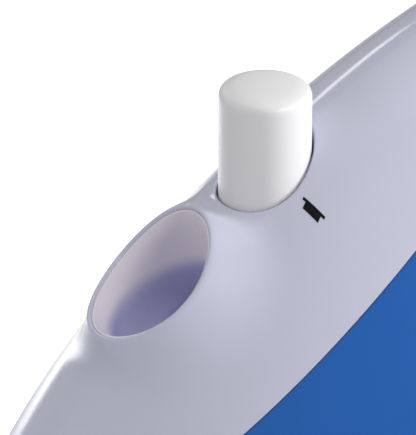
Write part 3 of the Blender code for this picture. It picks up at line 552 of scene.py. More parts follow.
finishes = {
    "white_plastic": mouldedMaterial("glossWhite", {
        "colour": (0.60, 0.605, 0.74), "worn": (0.57, 0.575, 0.71), "roughness": 0.16, "spread": 0.05,
        "bump": 0.03, "coat": 0.35, "marks": 0.06, "subsurface": 0.05}),
    "knob_white": mouldedMaterial("knobWhite", {
        "colour": (0.82, 0.81, 0.82), "worn": (0.78, 0.77, 0.78), "roughness": 0.32, "bump": 0.05,
        "coat": 0.0, "marks": 0.1}),
    "tank_blue": mouldedMaterial("translucentBlue", {
        "colour": (0.008, 0.150, 0.58), "worn": (0.006, 0.130, 0.52), "roughness": 0.10, "spread": 0.04,
        "bump": 0.02, "coat": 0.2, "transmission": 0.25, "marks": 0.06, "ior": 1.49}),
    "accent_blue": mouldedMaterial("softBlue", {
        "colour": (0.020, 0.085, 0.30), "worn": (0.035, 0.11, 0.33), "roughness": 0.52, "bump": 0.45,
        "grain": 2600.0, "depth": 0.0001, "marks": 0.2}),
    "skirt_grey": mouldedMaterial("skirtGrey", {
        "colour": (0.50, 0.51, 0.56), "worn": (0.43, 0.44, 0.48), "roughness": 0.38, "bump": 0.22,
        "grain": 2200.0, "marks": 0.3}),
    "steel": brushedMaterial("brightSteel", {
        "colour": (0.62, 0.62, 0.61), "dull": (0.47, 0.47, 0.47), "roughness": 0.24}),
    "sole_finish": brushedMaterial("polishedSole", {
        "colour": (0.76, 0.77, 0.79), "dull": (0.66, 0.67, 0.69), "roughness": 0.17, "lines": 0.35}),
    "cast_aluminium": mouldedMaterial("castAluminium", {
        "colour": (0.58, 0.59, 0.61), "worn": (0.42, 0.42, 0.43), "roughness": 0.48, "spread": 0.2,
        "tone": 0.7, "metallic": 1.0, "grain": 1400.0, "bump": 0.6, "depth": 0.0003}),
    "brass": brushedMaterial("turnedBrass", {
        "colour": (0.72, 0.53, 0.25), "dull": (0.55, 0.38, 0.17), "roughness": 0.28}),
    "black_rubber": mouldedMaterial("blackRubber", {
        "colour": (0.022, 0.022, 0.024), "worn": (0.05, 0.05, 0.05), "roughness": 0.62, "bump": 0.4,
        "grain": 1800.0, "tone": 0.5}),
    "silicone": mouldedMaterial("redSilicone", {
        "colour": (0.42, 0.07, 0.05), "worn": (0.50, 0.13, 0.10), "roughness": 0.50, "bump": 0.2}),
    "ceramic": mouldedMaterial("glazedCeramic", {
        "colour": (0.80, 0.77, 0.70), "worn": (0.66, 0.62, 0.54), "roughness": 0.30, "coat": 0.5,
        "grain": 700.0, "bump": 0.3}),
    "amber_lens": mouldedMaterial("amberLens", {
        "colour": (0.80, 0.17, 0.03), "worn": (0.70, 0.13, 0.02), "roughness": 0.08, "bump": 0.05,
        "coat": 0.5, "transmission": 0.55}),
    "lamp_glass": mouldedMaterial("lampGlass", {
        "colour": (0.90, 0.82, 0.74), "worn": (0.85, 0.72, 0.62), "roughness": 0.05, "transmission": 0.8}),
    "lead_brown": mouldedMaterial("brownSleeve", {
        "colour": (0.16, 0.06, 0.03), "worn": (0.22, 0.10, 0.06), "roughness": 0.42, "bump": 0.3}),
    "lead_blue": mouldedMaterial("blueSleeve", {
        "colour": (0.02, 0.10, 0.42), "worn": (0.05, 0.15, 0.46), "roughness": 0.42, "bump": 0.3}),
    "lead_green": mouldedMaterial("greenSleeve", {
        "colour": (0.10, 0.36, 0.05), "worn": (0.42, 0.42, 0.04), "roughness": 0.42, "tone": 0.9}),
    "print_black": mouldedMaterial("blackPrint", {
        "colour": (0.004, 0.004, 0.005), "worn": (0.014, 0.014, 0.016), "roughness": 0.6, "bump": 0.25,
        "grain": 3000.0, "marks": 0.3, "ior": 1.25}),
    "print_white": mouldedMaterial("whitePrint", {
        "colour": (0.82, 0.82, 0.82), "worn": (0.6, 0.62, 0.68), "roughness": 0.45, "bump": 0.25,
        "grain": 3000.0, "marks": 0.4}),
}


def paintThroatShadow(material, v):
    # painted shade: the funnel keeps its own colour round its mouth and, below a slanted level, is painted a dark
    # blue-violet that stands in for the shadow deep inside
    tree = material.node_tree
    base = tree.nodes["Principled BSDF"].inputs["Base Color"]
    plain = base.links[0].from_socket
    split = tree.nodes.new("ShaderNodeSeparateXYZ")
    feed(tree, split.inputs[0], tree.nodes.new("ShaderNodeTexCoord").outputs["Object"])
    slanted = mathNode(tree, "MULTIPLY", split.outputs["Y"], v["slope"])
    reach = tree.nodes.new("ShaderNodeMapRange")
    reach.interpolation_type = "SMOOTHERSTEP"
    for label, value in (("Value", mathNode(tree, "SUBTRACT", split.outputs["Z"], slanted)),
                         ("From Min", v["level"] - v["softness"]), ("From Max", v["level"] + v["softness"])):
        feed(tree, reach.inputs[label], value)
    # blends from the painted shadow colour below the level to the funnel's own colour above it
    feed(tree, base, mixColour(tree, reach.outputs["Result"], (*v["deep"], 1), plain))


finishes["funnel_white"] = mouldedMaterial("funnelWhite", {
    "colour": (0.93, 0.88, 0.92), "worn": (0.89, 0.84, 0.89), "roughness": 0.24, "bump": 0.05, "coat": 0.2})
# the deep colour is the painted shadow inside the mouth; slope, level and softness place its soft slanted edge
paintThroatShadow(finishes["funnel_white"], {"slope": 0.416, "level": 0.1025, "softness": 0.0026,
                                       "deep": (0.46, 0.46, 0.72)})


for part in frame["record"]["subparts"]:
    dressed = frame["nodes"][part["node"]].data
    if dressed.materials:
        dressed.materials[0] = finishes[part["material_slot"]]
    else:
        dressed.materials.append(finishes[part["material_slot"]])
print("materials ready")


# The filler mouth's own frame: a runs aft and up along the rim, b to port, h out of the mouth.
mouth = {
    "f": 0.0258, "z": 0.0782, "tilt": math.radians(40.9),
    "length": 0.0149, "width": 0.0113,  # half axes of the lip's inner edge
    "endRise": 0.0017, "sideDrop": 0.0004,  # the lip stands higher at its ends than at its sides
    "lipRadius": 0.00030, "landing": 0.00035, "flare": 0.0120, "softness": 0.0005, "deep": 0.004,
}
mouth["reach"] = mouth["landing"] + mouth["flare"] + mouth["softness"]
knobHole = {"radius": 0.00935, "lipRadius": 0.0005, "deep": 0.006, "clear": 0.0038}


def toMouth(f, x, z):
    df, dz = f - mouth["f"], z - mouth["z"]
    c, s = math.cos(mouth["tilt"]), math.sin(mouth["tilt"])
    return -df * c + dz * s, x, df * s + dz * c


def fromMouth(a, b, h):
    c, s = math.cos(mouth["tilt"]), math.sin(mouth["tilt"])
    return mouth["f"] - a * c + h * s, b, mouth["z"] + a * s + h * c


def mouthRatio(a, b):
    # below 1 inside the lip's inner edge
    return np.hypot(a / mouth["length"], b / mouth["width"])


def mouthDistance(a, b):
    # about how far outside the lip's inner edge a point is
    r = mouthRatio(a, b)
    slope = np.hypot(a / mouth["length"] ** 2, b / mouth["width"] ** 2) / np.maximum(r, 1e-6)
    return (r - 1) / np.maximum(slope, 1e-6)


def lipLevel(a):
    rise = mouth["endRise"] + mouth["sideDrop"]
    return rise * np.minimum((a / mouth["length"]) ** 2, 1.2) - mouth["sideDrop"]


def collarHeight(a, b, base):
    # the collar's flank sweeps up from the bonnet to a thin lip, steepest beside it
    d = mouthDistance(a, b)
    out = np.hypot(np.maximum(d - mouth["landing"], 0.0), mouth["softness"]) - mouth["softness"]
    rise = np.clip(1 - out / mouth["flare"], 0.0, 1.0) ** 3.2
    f, x, _ = fromMouth(a, b, base)
    rise = rise * smoothStep((np.hypot(f, x) - knobHole["radius"]) / knobHole["clear"])
    h = base * (1 - rise) + lipLevel(a) * rise
    into = np.clip((mouth["lipRadius"] - d) / mouth["lipRadius"], 0.0, 1.0)
    return h - mouth["lipRadius"] * (1 - np.sqrt(1 - into * into))


def bonnetSurface(f, x):
    # the bonnet without its collar, with the knob hole's edge turned down
    z = ridgeHeight(f) - upperDrop(f, x, handleHalfWidth(f))
    d = np.hypot(f, x) - knobHole["radius"]
    into = np.clip((knobHole["lipRadius"] - d) / knobHole["lipRadius"], 0.0, 1.0)
    return z - knobHole["lipRadius"] * (1 - np.sqrt(1 - into * into))


def baseInMouth(a, b):
    # the bonnet's height in the mouth's frame, over (a, b)
    def below(h):
        f, x, z = fromMouth(a, b, h)
        return z < bonnetSurface(f, x)
    return solveWidth(below, -0.016 + 0 * a, 0.010 + 0 * a, 30)


def withCollar(f, x, z):
    a, b, h = toMouth(f, x, z)
    near = mouthDistance(a, b) < mouth["reach"]
    if near.any():
        lifted = collarHeight(a[near], b[near], h[near])
        f[near], x[near], z[near] = fromMouth(a[near], b[near], lifted)
    return f, x, z


def formNormals(points, step=2e-5, reachable=6e-5):
    # normals of the true form, for points that lie on it, and zero elsewhere
    f, x, z = form["knobY"] - points[:, 1], points[:, 0], points[:, 2]
    normals = np.zeros_like(points)
    a, b, h = toMouth(f, x, z)
    d = mouthDistance(a, b)
    near = (d > -0.0003) & (d < mouth["reach"])

    def surfaceOf(a, b):
        return collarHeight(a, b, baseInMouth(a, b))

    if near.any():
        an, bn = a[near], b[near]
        here = surfaceOf(an, bn)
        da = (surfaceOf(an + step, bn) - surfaceOf(an - step, bn)) / (2 * step)
        db = (surfaceOf(an, bn + step) - surfaceOf(an, bn - step)) / (2 * step)
        on = np.abs(h[near] - here) / np.sqrt(1 + da * da + db * db) < reachable
        c, s = math.cos(mouth["tilt"]), math.sin(mouth["tilt"])
        nf, nx, nz = da * c + s, -db, -da * s + c
        normals[near] = np.stack([nx, -nf, nz], 1) * on[:, None]
    rest = ~near
    fr, xr = f[rest], x[rest]
    here = bonnetSurface(fr, xr)
    df = (bonnetSurface(fr + step, xr) - bonnetSurface(fr - step, xr)) / (2 * step)
    dx = (bonnetSurface(fr, xr + step) - bonnetSurface(fr, xr - step)) / (2 * step)
    on = np.abs(z[rest] - here) / np.sqrt(1 + df * df + dx * dx) < reachable
    normals[rest] = np.stack([-dx, df, np.ones_like(df)], 1) * on[:, None]
    length = np.linalg.norm(normals, axis=1)
    return np.where(length[:, None] > 0, normals / np.maximum(length, 1e-9)[:, None], 0.0)


def lipHeight(f):
    # the height of the grip's edge at f, seen from the side
    g, reach = fingerGap, form["gripDepth"] + form["gap"]
    r = g["corner"] + reach
    frontF, rearF = g["front"] - g["corner"], g["rear"] + g["corner"]
    frontZ, rearZ = g["top"] - g["corner"], g["top"] - g["corner"] + g["rise"]
    t = np.clip((frontF - f) / (frontF - rearF), 0, 1)
    level = g["top"] + reach + g["rise"] * t
    front = frontZ + np.sqrt(np.clip(r * r - (f - frontF) ** 2, 0, None))
    rear = rearZ + np.sqrt(np.clip(r * r - (f - rearF) ** 2, 0, None))
    return np.where(f > frontF, front, np.where(f < rearF, rear, level))


def sectionTable(f, foot, samples=160):
    # x and drop from the ridge to the foot, with the length along the section
    halfWidth = handleHalfWidth(f)
    goal = ridgeHeight(f) - foot
    edge = solveWidth(lambda x: upperDrop(f, x, halfWidth) < goal, 0 * f, halfWidth * 0.9995)
    t = 1 - (1 - np.linspace(0, 1, samples)) ** 2.2
    x = edge[:, None] * t[None, :]
    drop = upperDrop(f[:, None], x, halfWidth[:, None])
    length = np.zeros_like(x)
    length[:, 1:] = np.cumsum(np.hypot(np.diff(x, axis=1), np.diff(drop, axis=1)), axis=1)
    return x, length


bonnet = {"tip": 0.0664, "column": -0.0427, "behind": 0.0193, "spacing": 0.0004, "columns": 72, "wall": 0.0018}


def spreadFromRim(d):
    # keeps the first row of vertices a little way off an opening's rim
    return np.where((d > 0) & (d < 0.0008), 0.00035 + d * (0.45 / 0.8), d)


def bonnetPoints():
    # rows run from the nose to the handle, close together around the collar and the knob hole
    column = bonnet["column"]
    f = np.concatenate([np.linspace(bonnet["tip"], 0.0446, 24), np.arange(0.0440, -0.0125, -bonnet["spacing"]),
                        np.linspace(-0.0135, column + 1e-4, 26), [column - 1e-5],
                        column - bonnet["behind"] * np.linspace(0.02, 1, 22) ** 1.5])
    foot = seamHeight(f) + form["gap"]
    behind = f < column
    foot[behind] = np.maximum(foot[behind], lipHeight(f[behind]))
    x, length = sectionTable(f, foot)
    share = np.linspace(0, 1, bonnet["columns"])
    half = np.stack([np.interp(share * length[i, -1], length[i], x[i]) for i in range(len(f))])
    across = np.concatenate([-half[:, :0:-1], half], axis=1)
    return np.repeat(f[:, None], across.shape[1], axis=1), across


def clearKnobHole(f, x):
    # what is inside the hole is pushed out onto its rim
    r = np.hypot(f, x)
    inside = r < knobHole["radius"]
    opened = np.where(inside, knobHole["radius"], knobHole["radius"] + spreadFromRim(r - knobHole["radius"]))
    push = opened / np.maximum(r, 1e-6)
    return f * push, x * push, inside


def clearMouth(f, x, inside):
    # the same for the filler mouth, in its own frame
    a, b, h = toMouth(f, x, bonnetSurface(f, x))
    d, ratio = mouthDistance(a, b), mouthRatio(a, b)
    beside = (d < 0.0008) & ~inside
    moved = inside | beside
    scale = np.where(inside, 1 / np.maximum(ratio, 1e-3), 1.0)
    spread = (spreadFromRim(d[beside]) - d[beside]) / d[beside]
    scale[beside] = 1 + spread * (ratio[beside] - 1) / ratio[beside]
    a, b = a * scale, b * scale
    h[moved] = baseInMouth(a[moved], b[moved])
    made = fromMouth(a, b, h)
    return [np.where(moved, new, old) for new, old in zip(made, (f, x, bonnetSurface(f, x)))]


def turnDownRim(work, onRim, down):
    # draws an opening's rim down into a short wall
    rim = [edge for edge in work.edges if edge.is_boundary
           and all(onRim(form["knobY"] - v.co.y, v.co.x, v.co.z) for v in edge.verts)]
    made = bmesh.ops.extrude_edge_only(work, edges=rim)
    bmesh.ops.translate(work, verts=[v for v in made["geom"] if isinstance(v, bmesh.types.BMVert)], vec=down)


def buildBonnet():
    f, x = bonnetPoints()
    a, b, _ = toMouth(f, x, bonnetSurface(f, x))
    inMouth = mouthRatio(a, b) < 1
    f, x, inKnob = clearKnobHole(f, x)
    f, x, z = clearMouth(f, x, inMouth)
    piece, row, column = placedGrid("bonnetShell", world(*withCollar(f, x, z)))

    # faces whose corners were all inside an opening are taken away
    inside = (inKnob | inMouth)[row, column]
    work = bmesh.new()
    work.from_mesh(piece.data)
    work.verts.ensure_lookup_table()
    gone = [face for face in work.faces if all(inside[v.index] for v in face.verts)]
    bmesh.ops.delete(work, geom=gone, context="FACES")
    bmesh.ops.remove_doubles(work, verts=work.verts, dist=1e-5)
    tilt = mouth["tilt"]
    turnDownRim(work, lambda f, x, z: math.hypot(f, x) < knobHole["radius"] + 5e-5,
                Vector((0, 0, -knobHole["deep"])))
    turnDownRim(work, lambda f, x, z: mouthRatio(*toMouth(f, x, z)[:2]) < 1.004,
                Vector((0, math.sin(tilt), -math.cos(tilt))) * mouth["deep"])
    bmesh.ops.delete(work, geom=[v for v in work.verts if not v.link_faces], context="VERTS")
    bmesh.ops.recalc_face_normals(work, faces=work.faces)
    work.to_mesh(piece.data)
    work.free()
    turnOutwards(piece)
    thicken(piece, bonnet["wall"])
    roundEdges(piece, 0.00030, 2, 60)
    smoothShade(piece, 50)
    flat = np.empty(len(piece.data.vertices) * 3)
    piece.data.vertices.foreach_get("co", flat)
    piece.data.normals_split_custom_set_from_vertices(formNormals(flat.reshape(-1, 3)).tolist())
    finishPiece(piece, "white_plastic", "iron", "bonnet", smooth=None)


def ringSection(f, bottom, sideRows, roofColumns):
    # one open section of the tank or the body: up the starboard side, over the top, down the port side
    f = np.asarray(f, float)
    top = np.minimum(seamHeight(f), lowerSurface(f, 0 * f))
    sideTop = np.minimum(seamHeight(f), lowerSurface(f, 0 * f) - 1e-4)
    t = np.linspace(0, 1, sideRows) ** 1.35
    z = sideTop[:, None] + (bottom - sideTop)[:, None] * t[None, :]
    fz = np.repeat(f[:, None], sideRows, axis=1)
    x = halfWidthAt(lowerSurface, fz, z)
    roofX = x[:, :1] * np.linspace(0, 0.985, roofColumns)[None, :]
    roofZ = np.minimum(top[:, None], lowerSurface(f[:, None], roofX))
    halfX, halfZ = np.concatenate([roofX, x], 1), np.concatenate([roofZ, z], 1)
    xs = np.concatenate([-halfX[:, :0:-1], halfX], 1)
    zs = np.concatenate([halfZ[:, :0:-1], halfZ], 1)
    return world(f[:, None], xs, zs)


def capAt(piece, f):
    # closes the end of a shell that is cut square at f
    inEditMode(piece, selectNone)
    for vertex in piece.data.vertices:
        vertex.select = abs(vertex.co.y - form["knobY"] + f) < 1e-6
    bpy.ops.object.mode_set(mode="EDIT")
    bpy.ops.mesh.select_mode(type="VERT")
    bpy.ops.mesh.edge_face_add()
    bpy.ops.object.mode_set(mode="OBJECT")


tank = {"front": 0.0645, "wall": 0.0020, "edge": 0.00035}


def buildTank():
    # dense rows, a flat roof under the bonnet, and the body's own shoulder behind the column
    f = np.concatenate([np.linspace(tank["front"], 0.058, 10), np.linspace(0.0572, -0.0180, 84),
                        np.linspace(-0.0188, form["tankRear"], 56)])
    piece = gridPiece("waterTank", ringSection(f, np.full(len(f), form["tankBottom"]), 44, 14))
    for end in (form["tankRear"], tank["front"]):
        capAt(piece, end)
    inEditMode(piece, normalsOut)
    turnOutwards(piece)
    thicken(piece, tank["wall"])
    roundEdges(piece, tank["edge"], 2, 40)
    finishPiece(piece, "tank_blue", "iron", "tank_shell")


body = {"heelF": -0.1607, "heelZ": 0.0100}


def buildBodyShell():
    # the housing reaches lower behind the heel line, and a round seat under the dial closes its deck
    turn = np.cos(np.linspace(0.02, 1, 18) * math.pi / 2)
    f = np.concatenate([np.linspace(-0.0603, -0.160, 60), [-0.1606, -0.1608], np.linspace(-0.1625, -0.172, 8),
                        form["bodyRear"] + form["cornerRadius"] * turn])
    bottom = np.where(f > body["heelF"], form["tankBottom"], body["heelZ"])
    piece = gridPiece("bodyHousing", ringSection(f, bottom, 40, 16))
    thicken(piece, form["wall"])
    roundEdges(piece, 0.0004, 2, 40)
    finishPiece(piece, "white_plastic", "iron", "body_shell")
    seat = turnedPiece("dialSeat", [(0.0, 0.0620, 0), (0.0302, 0.0620, 0), (0.0302, 0.0664, 0.0006),
                                    (0.0044, 0.0664, 0.0003), (0.0044, 0.0630, 0), (0.0, 0.0630, 0)],
                       (0, form["knobY"] - dial["f"], 0), 96)
    finishPiece(seat, "white_plastic", "iron", smooth=35)


inlet = {"tilt": math.radians(62), "bore": 0.0072}
inlet["centre"] = (0, form["knobY"] - (form["bendF"] - form["bendRadius"] * math.sin(inlet["tilt"])),
                   form["handleRearZ"] - form["bendRadius"] + form["bendRadius"] * math.cos(inlet["tilt"]))
handle = {"start": -0.0624, "depthLimit": 0.0215, "columns": 26, "edge": 0.0003}


def gripMet(f, z):
    # whether a point has come to the grip's edge
    g, reach = fingerGap, form["gripDepth"] + form["gap"]
    rearF, rearZ = g["rear"] + g["corner"], g["top"] - g["corner"] + g["rise"]
    if f > rearF:
        return z <= float(lipHeight(f))
    if z > rearZ:
        return math.hypot(f - rearF, z - rearZ) <= g["corner"] + reach
    return f >= g["rear"] - reach


def depthToGrip(f, z, angle):
    # how far in from the ridge the grip's edge is met
    for depth in np.linspace(0.004, 0.034, 601):
        if gripMet(f + depth * math.sin(angle), z - depth * math.cos(angle)):
            return depth
    return handle["depthLimit"]


def buildHandleCover():
    # the section is drawn down from the ridge line, which bends over and runs down the post
    bend, radius, width = form["bendF"], form["bendRadius"], form["handleHalfWidth"]
    top, down = form["handleRearZ"] - radius, math.pi / 2
    stations = [(f, float(ridgeHeight(f)), 0.0, float(handleHalfWidth(f)))
                for f in np.linspace(handle["start"], bend, 62)]
    stations += [(bend - radius * math.sin(angle), top + radius * math.cos(angle), angle, width)
                 for angle in np.linspace(0, down, 26)[1:]]
    stations += [(bend - radius, z, down, width) for z in np.linspace(top, form["deckZ"] + 0.0011, 16)[1:]]
    rows = []
    for f, z, angle, halfWidth in stations:
        depth, flatF = depthToGrip(f, z, angle), max(f, bend)
        edge = float(solveWidth(lambda x: upperDrop(flatF, x, halfWidth) < depth, 0.0, halfWidth * 0.9995))
        x = edge * (1 - (1 - np.linspace(0, 1, 90)) ** 2.2)
        half = respaced(np.stack([x, upperDrop(flatF, x, halfWidth)], 1), np.linspace(0, 1, handle["columns"]))
        across = np.concatenate([-half[:0:-1, 0], half[:, 0]])
        drop = np.concatenate([half[:0:-1, 1], half[:, 1]])
        rows.append(world(f + drop * math.sin(angle), across, z - drop * math.cos(angle)))
    piece = gridPiece("handleTop", np.array(rows))
    thicken(piece, form["wall"])
    bore = inlet["bore"]
    tool = turnedPiece("inletTool", [(0, -0.02, 0), (bore, -0.02, 0), (bore, 0.02, 0), (0, 0.02, 0)],
                       inlet["centre"], 64, -inlet["tilt"])
    booleanWith(piece, tool)
    roundEdges(piece, handle["edge"], 2, 50)
    finishPiece(piece, "white_plastic", "iron", "handle_cover")


def fingerPath(count):
    # the loop's inner line from the front foot over the top to the rear foot, evenly spaced
    g = fingerGap
    foot = form["deckZ"] + 0.0008
    frontF, rearF = g["front"] - g["corner"], g["rear"] + g["corner"]
    frontZ, rearZ = g["top"] - g["corner"], g["top"] - g["corner"] + g["rise"]
    turn = np.linspace(0, math.pi / 2, 40)
    parts = [np.stack([np.full(20, g["front"]), np.linspace(foot, frontZ, 20)], 1),
             np.stack([frontF + g["corner"] * np.cos(turn), frontZ + g["corner"] * np.sin(turn)], 1),
             np.stack([rearF - g["corner"] * np.sin(turn), rearZ + g["corner"] * np.cos(turn)], 1),
             np.stack([np.full(20, g["rear"]), np.linspace(rearZ, foot, 20)], 1)]
    return respaced(np.concatenate(parts), np.linspace(0, 1, count))


grip = {"stations": 150, "squareness": 0.62, "ribDepth": 0.00035, "ribRate": 0.62, "ribFront": -0.072,
        "ribRear": -0.138, "wall": 0.0020, "edge": 0.0003}


def depthBelowRidge(f, z):
    # the ridge line bends over at the handle's rear and runs down the post
    top = form["handleRearZ"] - form["bendRadius"]
    if f > form["bendF"]:
        return float(ridgeHeight(f)) - z
    if z > top:
        return form["bendRadius"] - math.hypot(f - form["bendF"], z - top)
    return f - form["bendF"] + form["bendRadius"]


def buildHandleGrip():
    # a rounded channel swept round the finger gap, with shallow ribs along its top
    path = fingerPath(grip["stations"])
    angle = np.linspace(-math.pi / 2, math.pi / 2, 45)
    rows = []
    for i, (f, z) in enumerate(path):
        before, after = path[max(i - 1, 0)], path[min(i + 1, len(path) - 1)]
        along = (after - before) / np.linalg.norm(after - before)
        away = np.array([along[1], -along[0]])
        lipF, lipZ = f + away[0] * form["gripDepth"], z + away[1] * form["gripDepth"]
        side, flatF, depth = float(handleHalfWidth(lipF)), max(lipF, form["bendF"]), depthBelowRidge(lipF, lipZ)
        width = float(solveWidth(lambda x: upperDrop(flatF, x, side) < depth, 0.0, side * 0.9995))
        across = width * np.sign(angle) * np.abs(np.sin(angle)) ** grip["squareness"]
        height = form["gripDepth"] * (1 - np.cos(angle).clip(0) ** grip["squareness"])
        fade = smoothStep((grip["ribFront"] - f) / 0.01) * smoothStep((f - grip["ribRear"]) / 0.01)
        rib = grip["ribDepth"] * max(0.0, math.sin(i * grip["ribRate"])) ** 2 * fade
        height = height + rib * np.exp(-(across / 0.011) ** 4)
        rows.append(world(f + away[0] * height, across, z + away[1] * height))
    piece = gridPiece("handleInside", np.array(rows), sign=-1)
    thicken(piece, grip["wall"])
    roundEdges(piece, grip["edge"], 2, 50)
    finishPiece(piece, "accent_blue", "iron", "handle_grip")


def buildKnob():
    # a tall cup with a slightly domed top and a boss for the rod
    low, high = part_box("steam_knob")
    radius, top = (high[0] - low[0]) / 2, high[2]
    dome = [(radius * t, top - 0.0009 * t * t, 0) for t in (0.0, 0.15, 0.30, 0.45, 0.60, 0.72)]
    cup = [(radius, top - 0.0013, 0.0015), (radius, low[2], 0.0006), (radius - 0.0015, low[2], 0.0002),
           (radius - 0.0015, top - 0.011, 0.001), (0.0029, top - 0.011, 0.0003), (0.0029, top - 0.0130, 0.0003),
           (0.0, top - 0.0130, 0)]
    piece = turnedPiece("steamKnob", dome + cup, (0, form["knobY"], 0), 128)
    finishPiece(piece, "knob_white", "steam_knob", "steam_knob")


spring = {"joint": "steam_knob_press", "wire": 0.0005, "turns": 4, "stepsPerTurn": 40, "wireSides": 12}


def buildSpring():
    # a round wire wound up by the Screw modifier
    low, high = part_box("knob_spring")
    radius = (high[0] - low[0]) / 2 - spring["wire"]
    deselect()
    bpy.ops.mesh.primitive_circle_add(vertices=spring["wireSides"], radius=spring["wire"], fill_type="NGON",
                                      location=(radius, 0, 0), rotation=(math.pi / 2, 0, 0))
    piece = bpy.context.object
    piece.name = piece.data.name = "knobSpring"
    settle(piece)
    winding = piece.modifiers.new("winding", "SCREW")
    winding.steps = winding.render_steps = spring["stepsPerTurn"]
    winding.iterations = spring["turns"]
    winding.screw_offset = (high[2] - low[2] - 2 * spring["wire"]) / spring["turns"]
    applyAll(piece)
    piece.location = ((low[0] + high[0]) / 2, (low[1] + high[1]) / 2, low[2] + spring["wire"])
    settle(piece)
    fixCaps(piece)
    finishPiece(piece, "steel", "iron", "knob_spring", smooth=60)
    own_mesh(piece)


funnel = {"spoutF": 0.0150, "wall": 0.00034, "rimRows": 14}


def buildFunnel():
    # elliptical rings from the rim down to the round spout
    spoutF, tilt = funnel["spoutF"], mouth["tilt"]
    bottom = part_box("filler_funnel")[0][2]
    keys = np.array([  # share of the way down, f, z, half length, half width, tilt
        (0.0, mouth["f"], mouth["z"], mouth["length"] - 0.0004, mouth["width"] - 0.0004, tilt),
        (0.34, 0.0216, 0.0722, 0.0132, 0.0103, tilt),
        (0.58, 0.0176, 0.0672, 0.0086, 0.0080, math.radians(24)),
        (0.75, spoutF, 0.0650, 0.0056, 0.0056, 0.0),
        (1.0, spoutF, bottom, 0.0052, 0.0052, 0.0)])
    t = np.linspace(0, 1, 46)
    fine = np.stack([np.interp(t, keys[:, 0], keys[:, k]) for k in range(1, 6)], 1)
    for _ in range(6):
        fine[1:-1] = (fine[:-2] + 2 * fine[1:-1] + fine[2:]) / 4
    angle = np.linspace(0, 2 * math.pi, 97)
    out = np.array([0, -math.sin(tilt), math.cos(tilt)])
    level = lipLevel(mouth["length"] * np.cos(angle)) - 0.0006
    rows = []
    for step, (f, z, length, width, lean) in enumerate(fine):
        a, b = length * np.cos(angle), width * np.sin(angle)
        share = max(0.0, 1 - step / funnel["rimRows"]) ** 1.5
        rows.append(world(f - a * math.cos(lean), b, z + a * math.sin(lean)) + out * level[:, None] * share)
    rows = np.array(rows)
    rows[:, -1] = rows[:, 0]
    piece = gridPiece("fillerFunnel", rows, sign=-1)
    inEditMode(piece, mergeDoubles)
    turnOutwards(piece, -1)
    thicken(piece, funnel["wall"])
    finishPiece(piece, "funnel_white", "iron", "filler_funnel", slot="white_plastic", smooth=50)


def cornerPoints(rear, corner, halfWidth, count):
    # the rounded rear corner of a plan outline
    turn = np.linspace(0, math.pi / 2, count)[1:]
    return np.stack([rear + corner * (1 - np.sin(turn)), halfWidth - corner * (1 - np.cos(turn))], 1)


def planOutline(tip, rear, insetBy, count, corner=0.014):
    fine = np.linspace(tip, rear + corner, 1200)
    half = planHalfWidth(fine + form["bodyTip"] - tip) - insetBy
    keep = half > 0.0003
    side = np.concatenate([np.stack([fine[keep], half[keep]], 1), cornerPoints(rear, corner, half[keep][-1], 24)])
    side = respaced(side, np.linspace(0, 1, count) ** 1.25)
    return np.concatenate([side, side[::-1] * (1, -1)])


sole = {
    "tip": 0.079, "rear": -0.159, "middle": -0.03,
    "rings": ((0.0020, 0.0), (0.00055, 0.0003), (0.0, 0.0011), (0.0, 0.0030), (0.0, 0.0042), (0.0003, 0.0045),
              (0.0060, 0.0045)),  # inset and height
    "holePairs": ((0.046, 0.62), (0.030, 0.62), (0.012, 0.62), (-0.008, 0.62), (-0.028, 0.62),
                  (-0.050, 0.66), (-0.078, 0.66), (-0.106, 0.66)),  # f and share of the half width
    "noseHole": 0.058,
}


def buildSole():
    # the plan outline is drawn at several heights: a rounded lower edge and a flat rim above
    outline = planOutline(sole["tip"], sole["rear"], -0.001, 110)
    centre = np.array([sole["middle"], 0.0])
    away = outline - centre
    rows = []
    for inset, z in sole["rings"]:
        ring = centre + away * (1 - inset / np.maximum(np.abs(away).max(1), 0.02))[:, None]
        ring = np.concatenate([ring, ring[:1]])
        rows.append(world(ring[:, 0], ring[:, 1], z))
    piece = gridPiece("polishedSole", np.array(rows), closed=True)
    inEditMode(piece, selectNone, lambda: bpy.ops.mesh.select_mode(type="EDGE"),
               lambda: bpy.ops.mesh.select_non_manifold(extend=False, use_boundary=True),
               bpy.ops.mesh.edge_face_add)
    fixCaps(piece)
    holes = [(sole["noseHole"], 0.0)]
    holes += [(f, s * float(planHalfWidth(f)) * share) for f, share in sole["holePairs"] for s in (-1, 1)]
    profile = [(0, -0.001, 0), (0.0030, -0.001, 0), (0.0019, 0.0008, 0.0004), (0.0018, 0.0060, 0), (0, 0.0060, 0)]
    drills = [turnedPiece("steamHole", profile, (x, form["knobY"] - f, 0), 24) for f, x in holes]
    booleanWith(piece, joinAll(drills))
    finishPiece(piece, "sole_finish", "iron", "soleplate", smooth=35)


skirt = {"low": 0.0055, "high": 0.0240, "rear": -0.158, "corner": 0.013, "clear": 0.0003, "wall": 0.0020}


def buildSkirt():
    # its wall follows the nose's own slope in front and the plan outline behind
    rows = []
    for z in np.linspace(skirt["high"], skirt["low"], 16):
        tip = float(solveWidth(lambda f: (ridgeHeight(f) > z) & (planHalfWidth(f) > 0.0004), 0.0, form["bodyTip"]))
        f = tip + (skirt["rear"] + skirt["corner"] - tip) * np.linspace(0, 1, 90) ** 2.0
        share = smoothStep(-f / 0.02)
        onNose = halfWidthAt(noseSurface, f, np.full(90, z)) - 0.0002
        x = onNose * (1 - share) + (planHalfWidth(f) - skirt["clear"]) * share
        x[0] = 0.0
        side = np.concatenate([np.stack([f, x], 1), cornerPoints(skirt["rear"], skirt["corner"], x[-1], 14)])
        ring = np.concatenate([side, side[::-1] * (1, -1)])
        rows.append(world(ring[:, 0], ring[:, 1], z))
    piece = gridPiece("heatSkirt", np.array(rows))
    inEditMode(piece, mergeDoubles)
    turnOutwards(piece)
    thicken(piece, skirt["wall"])
    roundEdges(piece, 0.0004, 2, 50)
    finishPiece(piece, "skirt_grey", "iron", "heat_skirt")


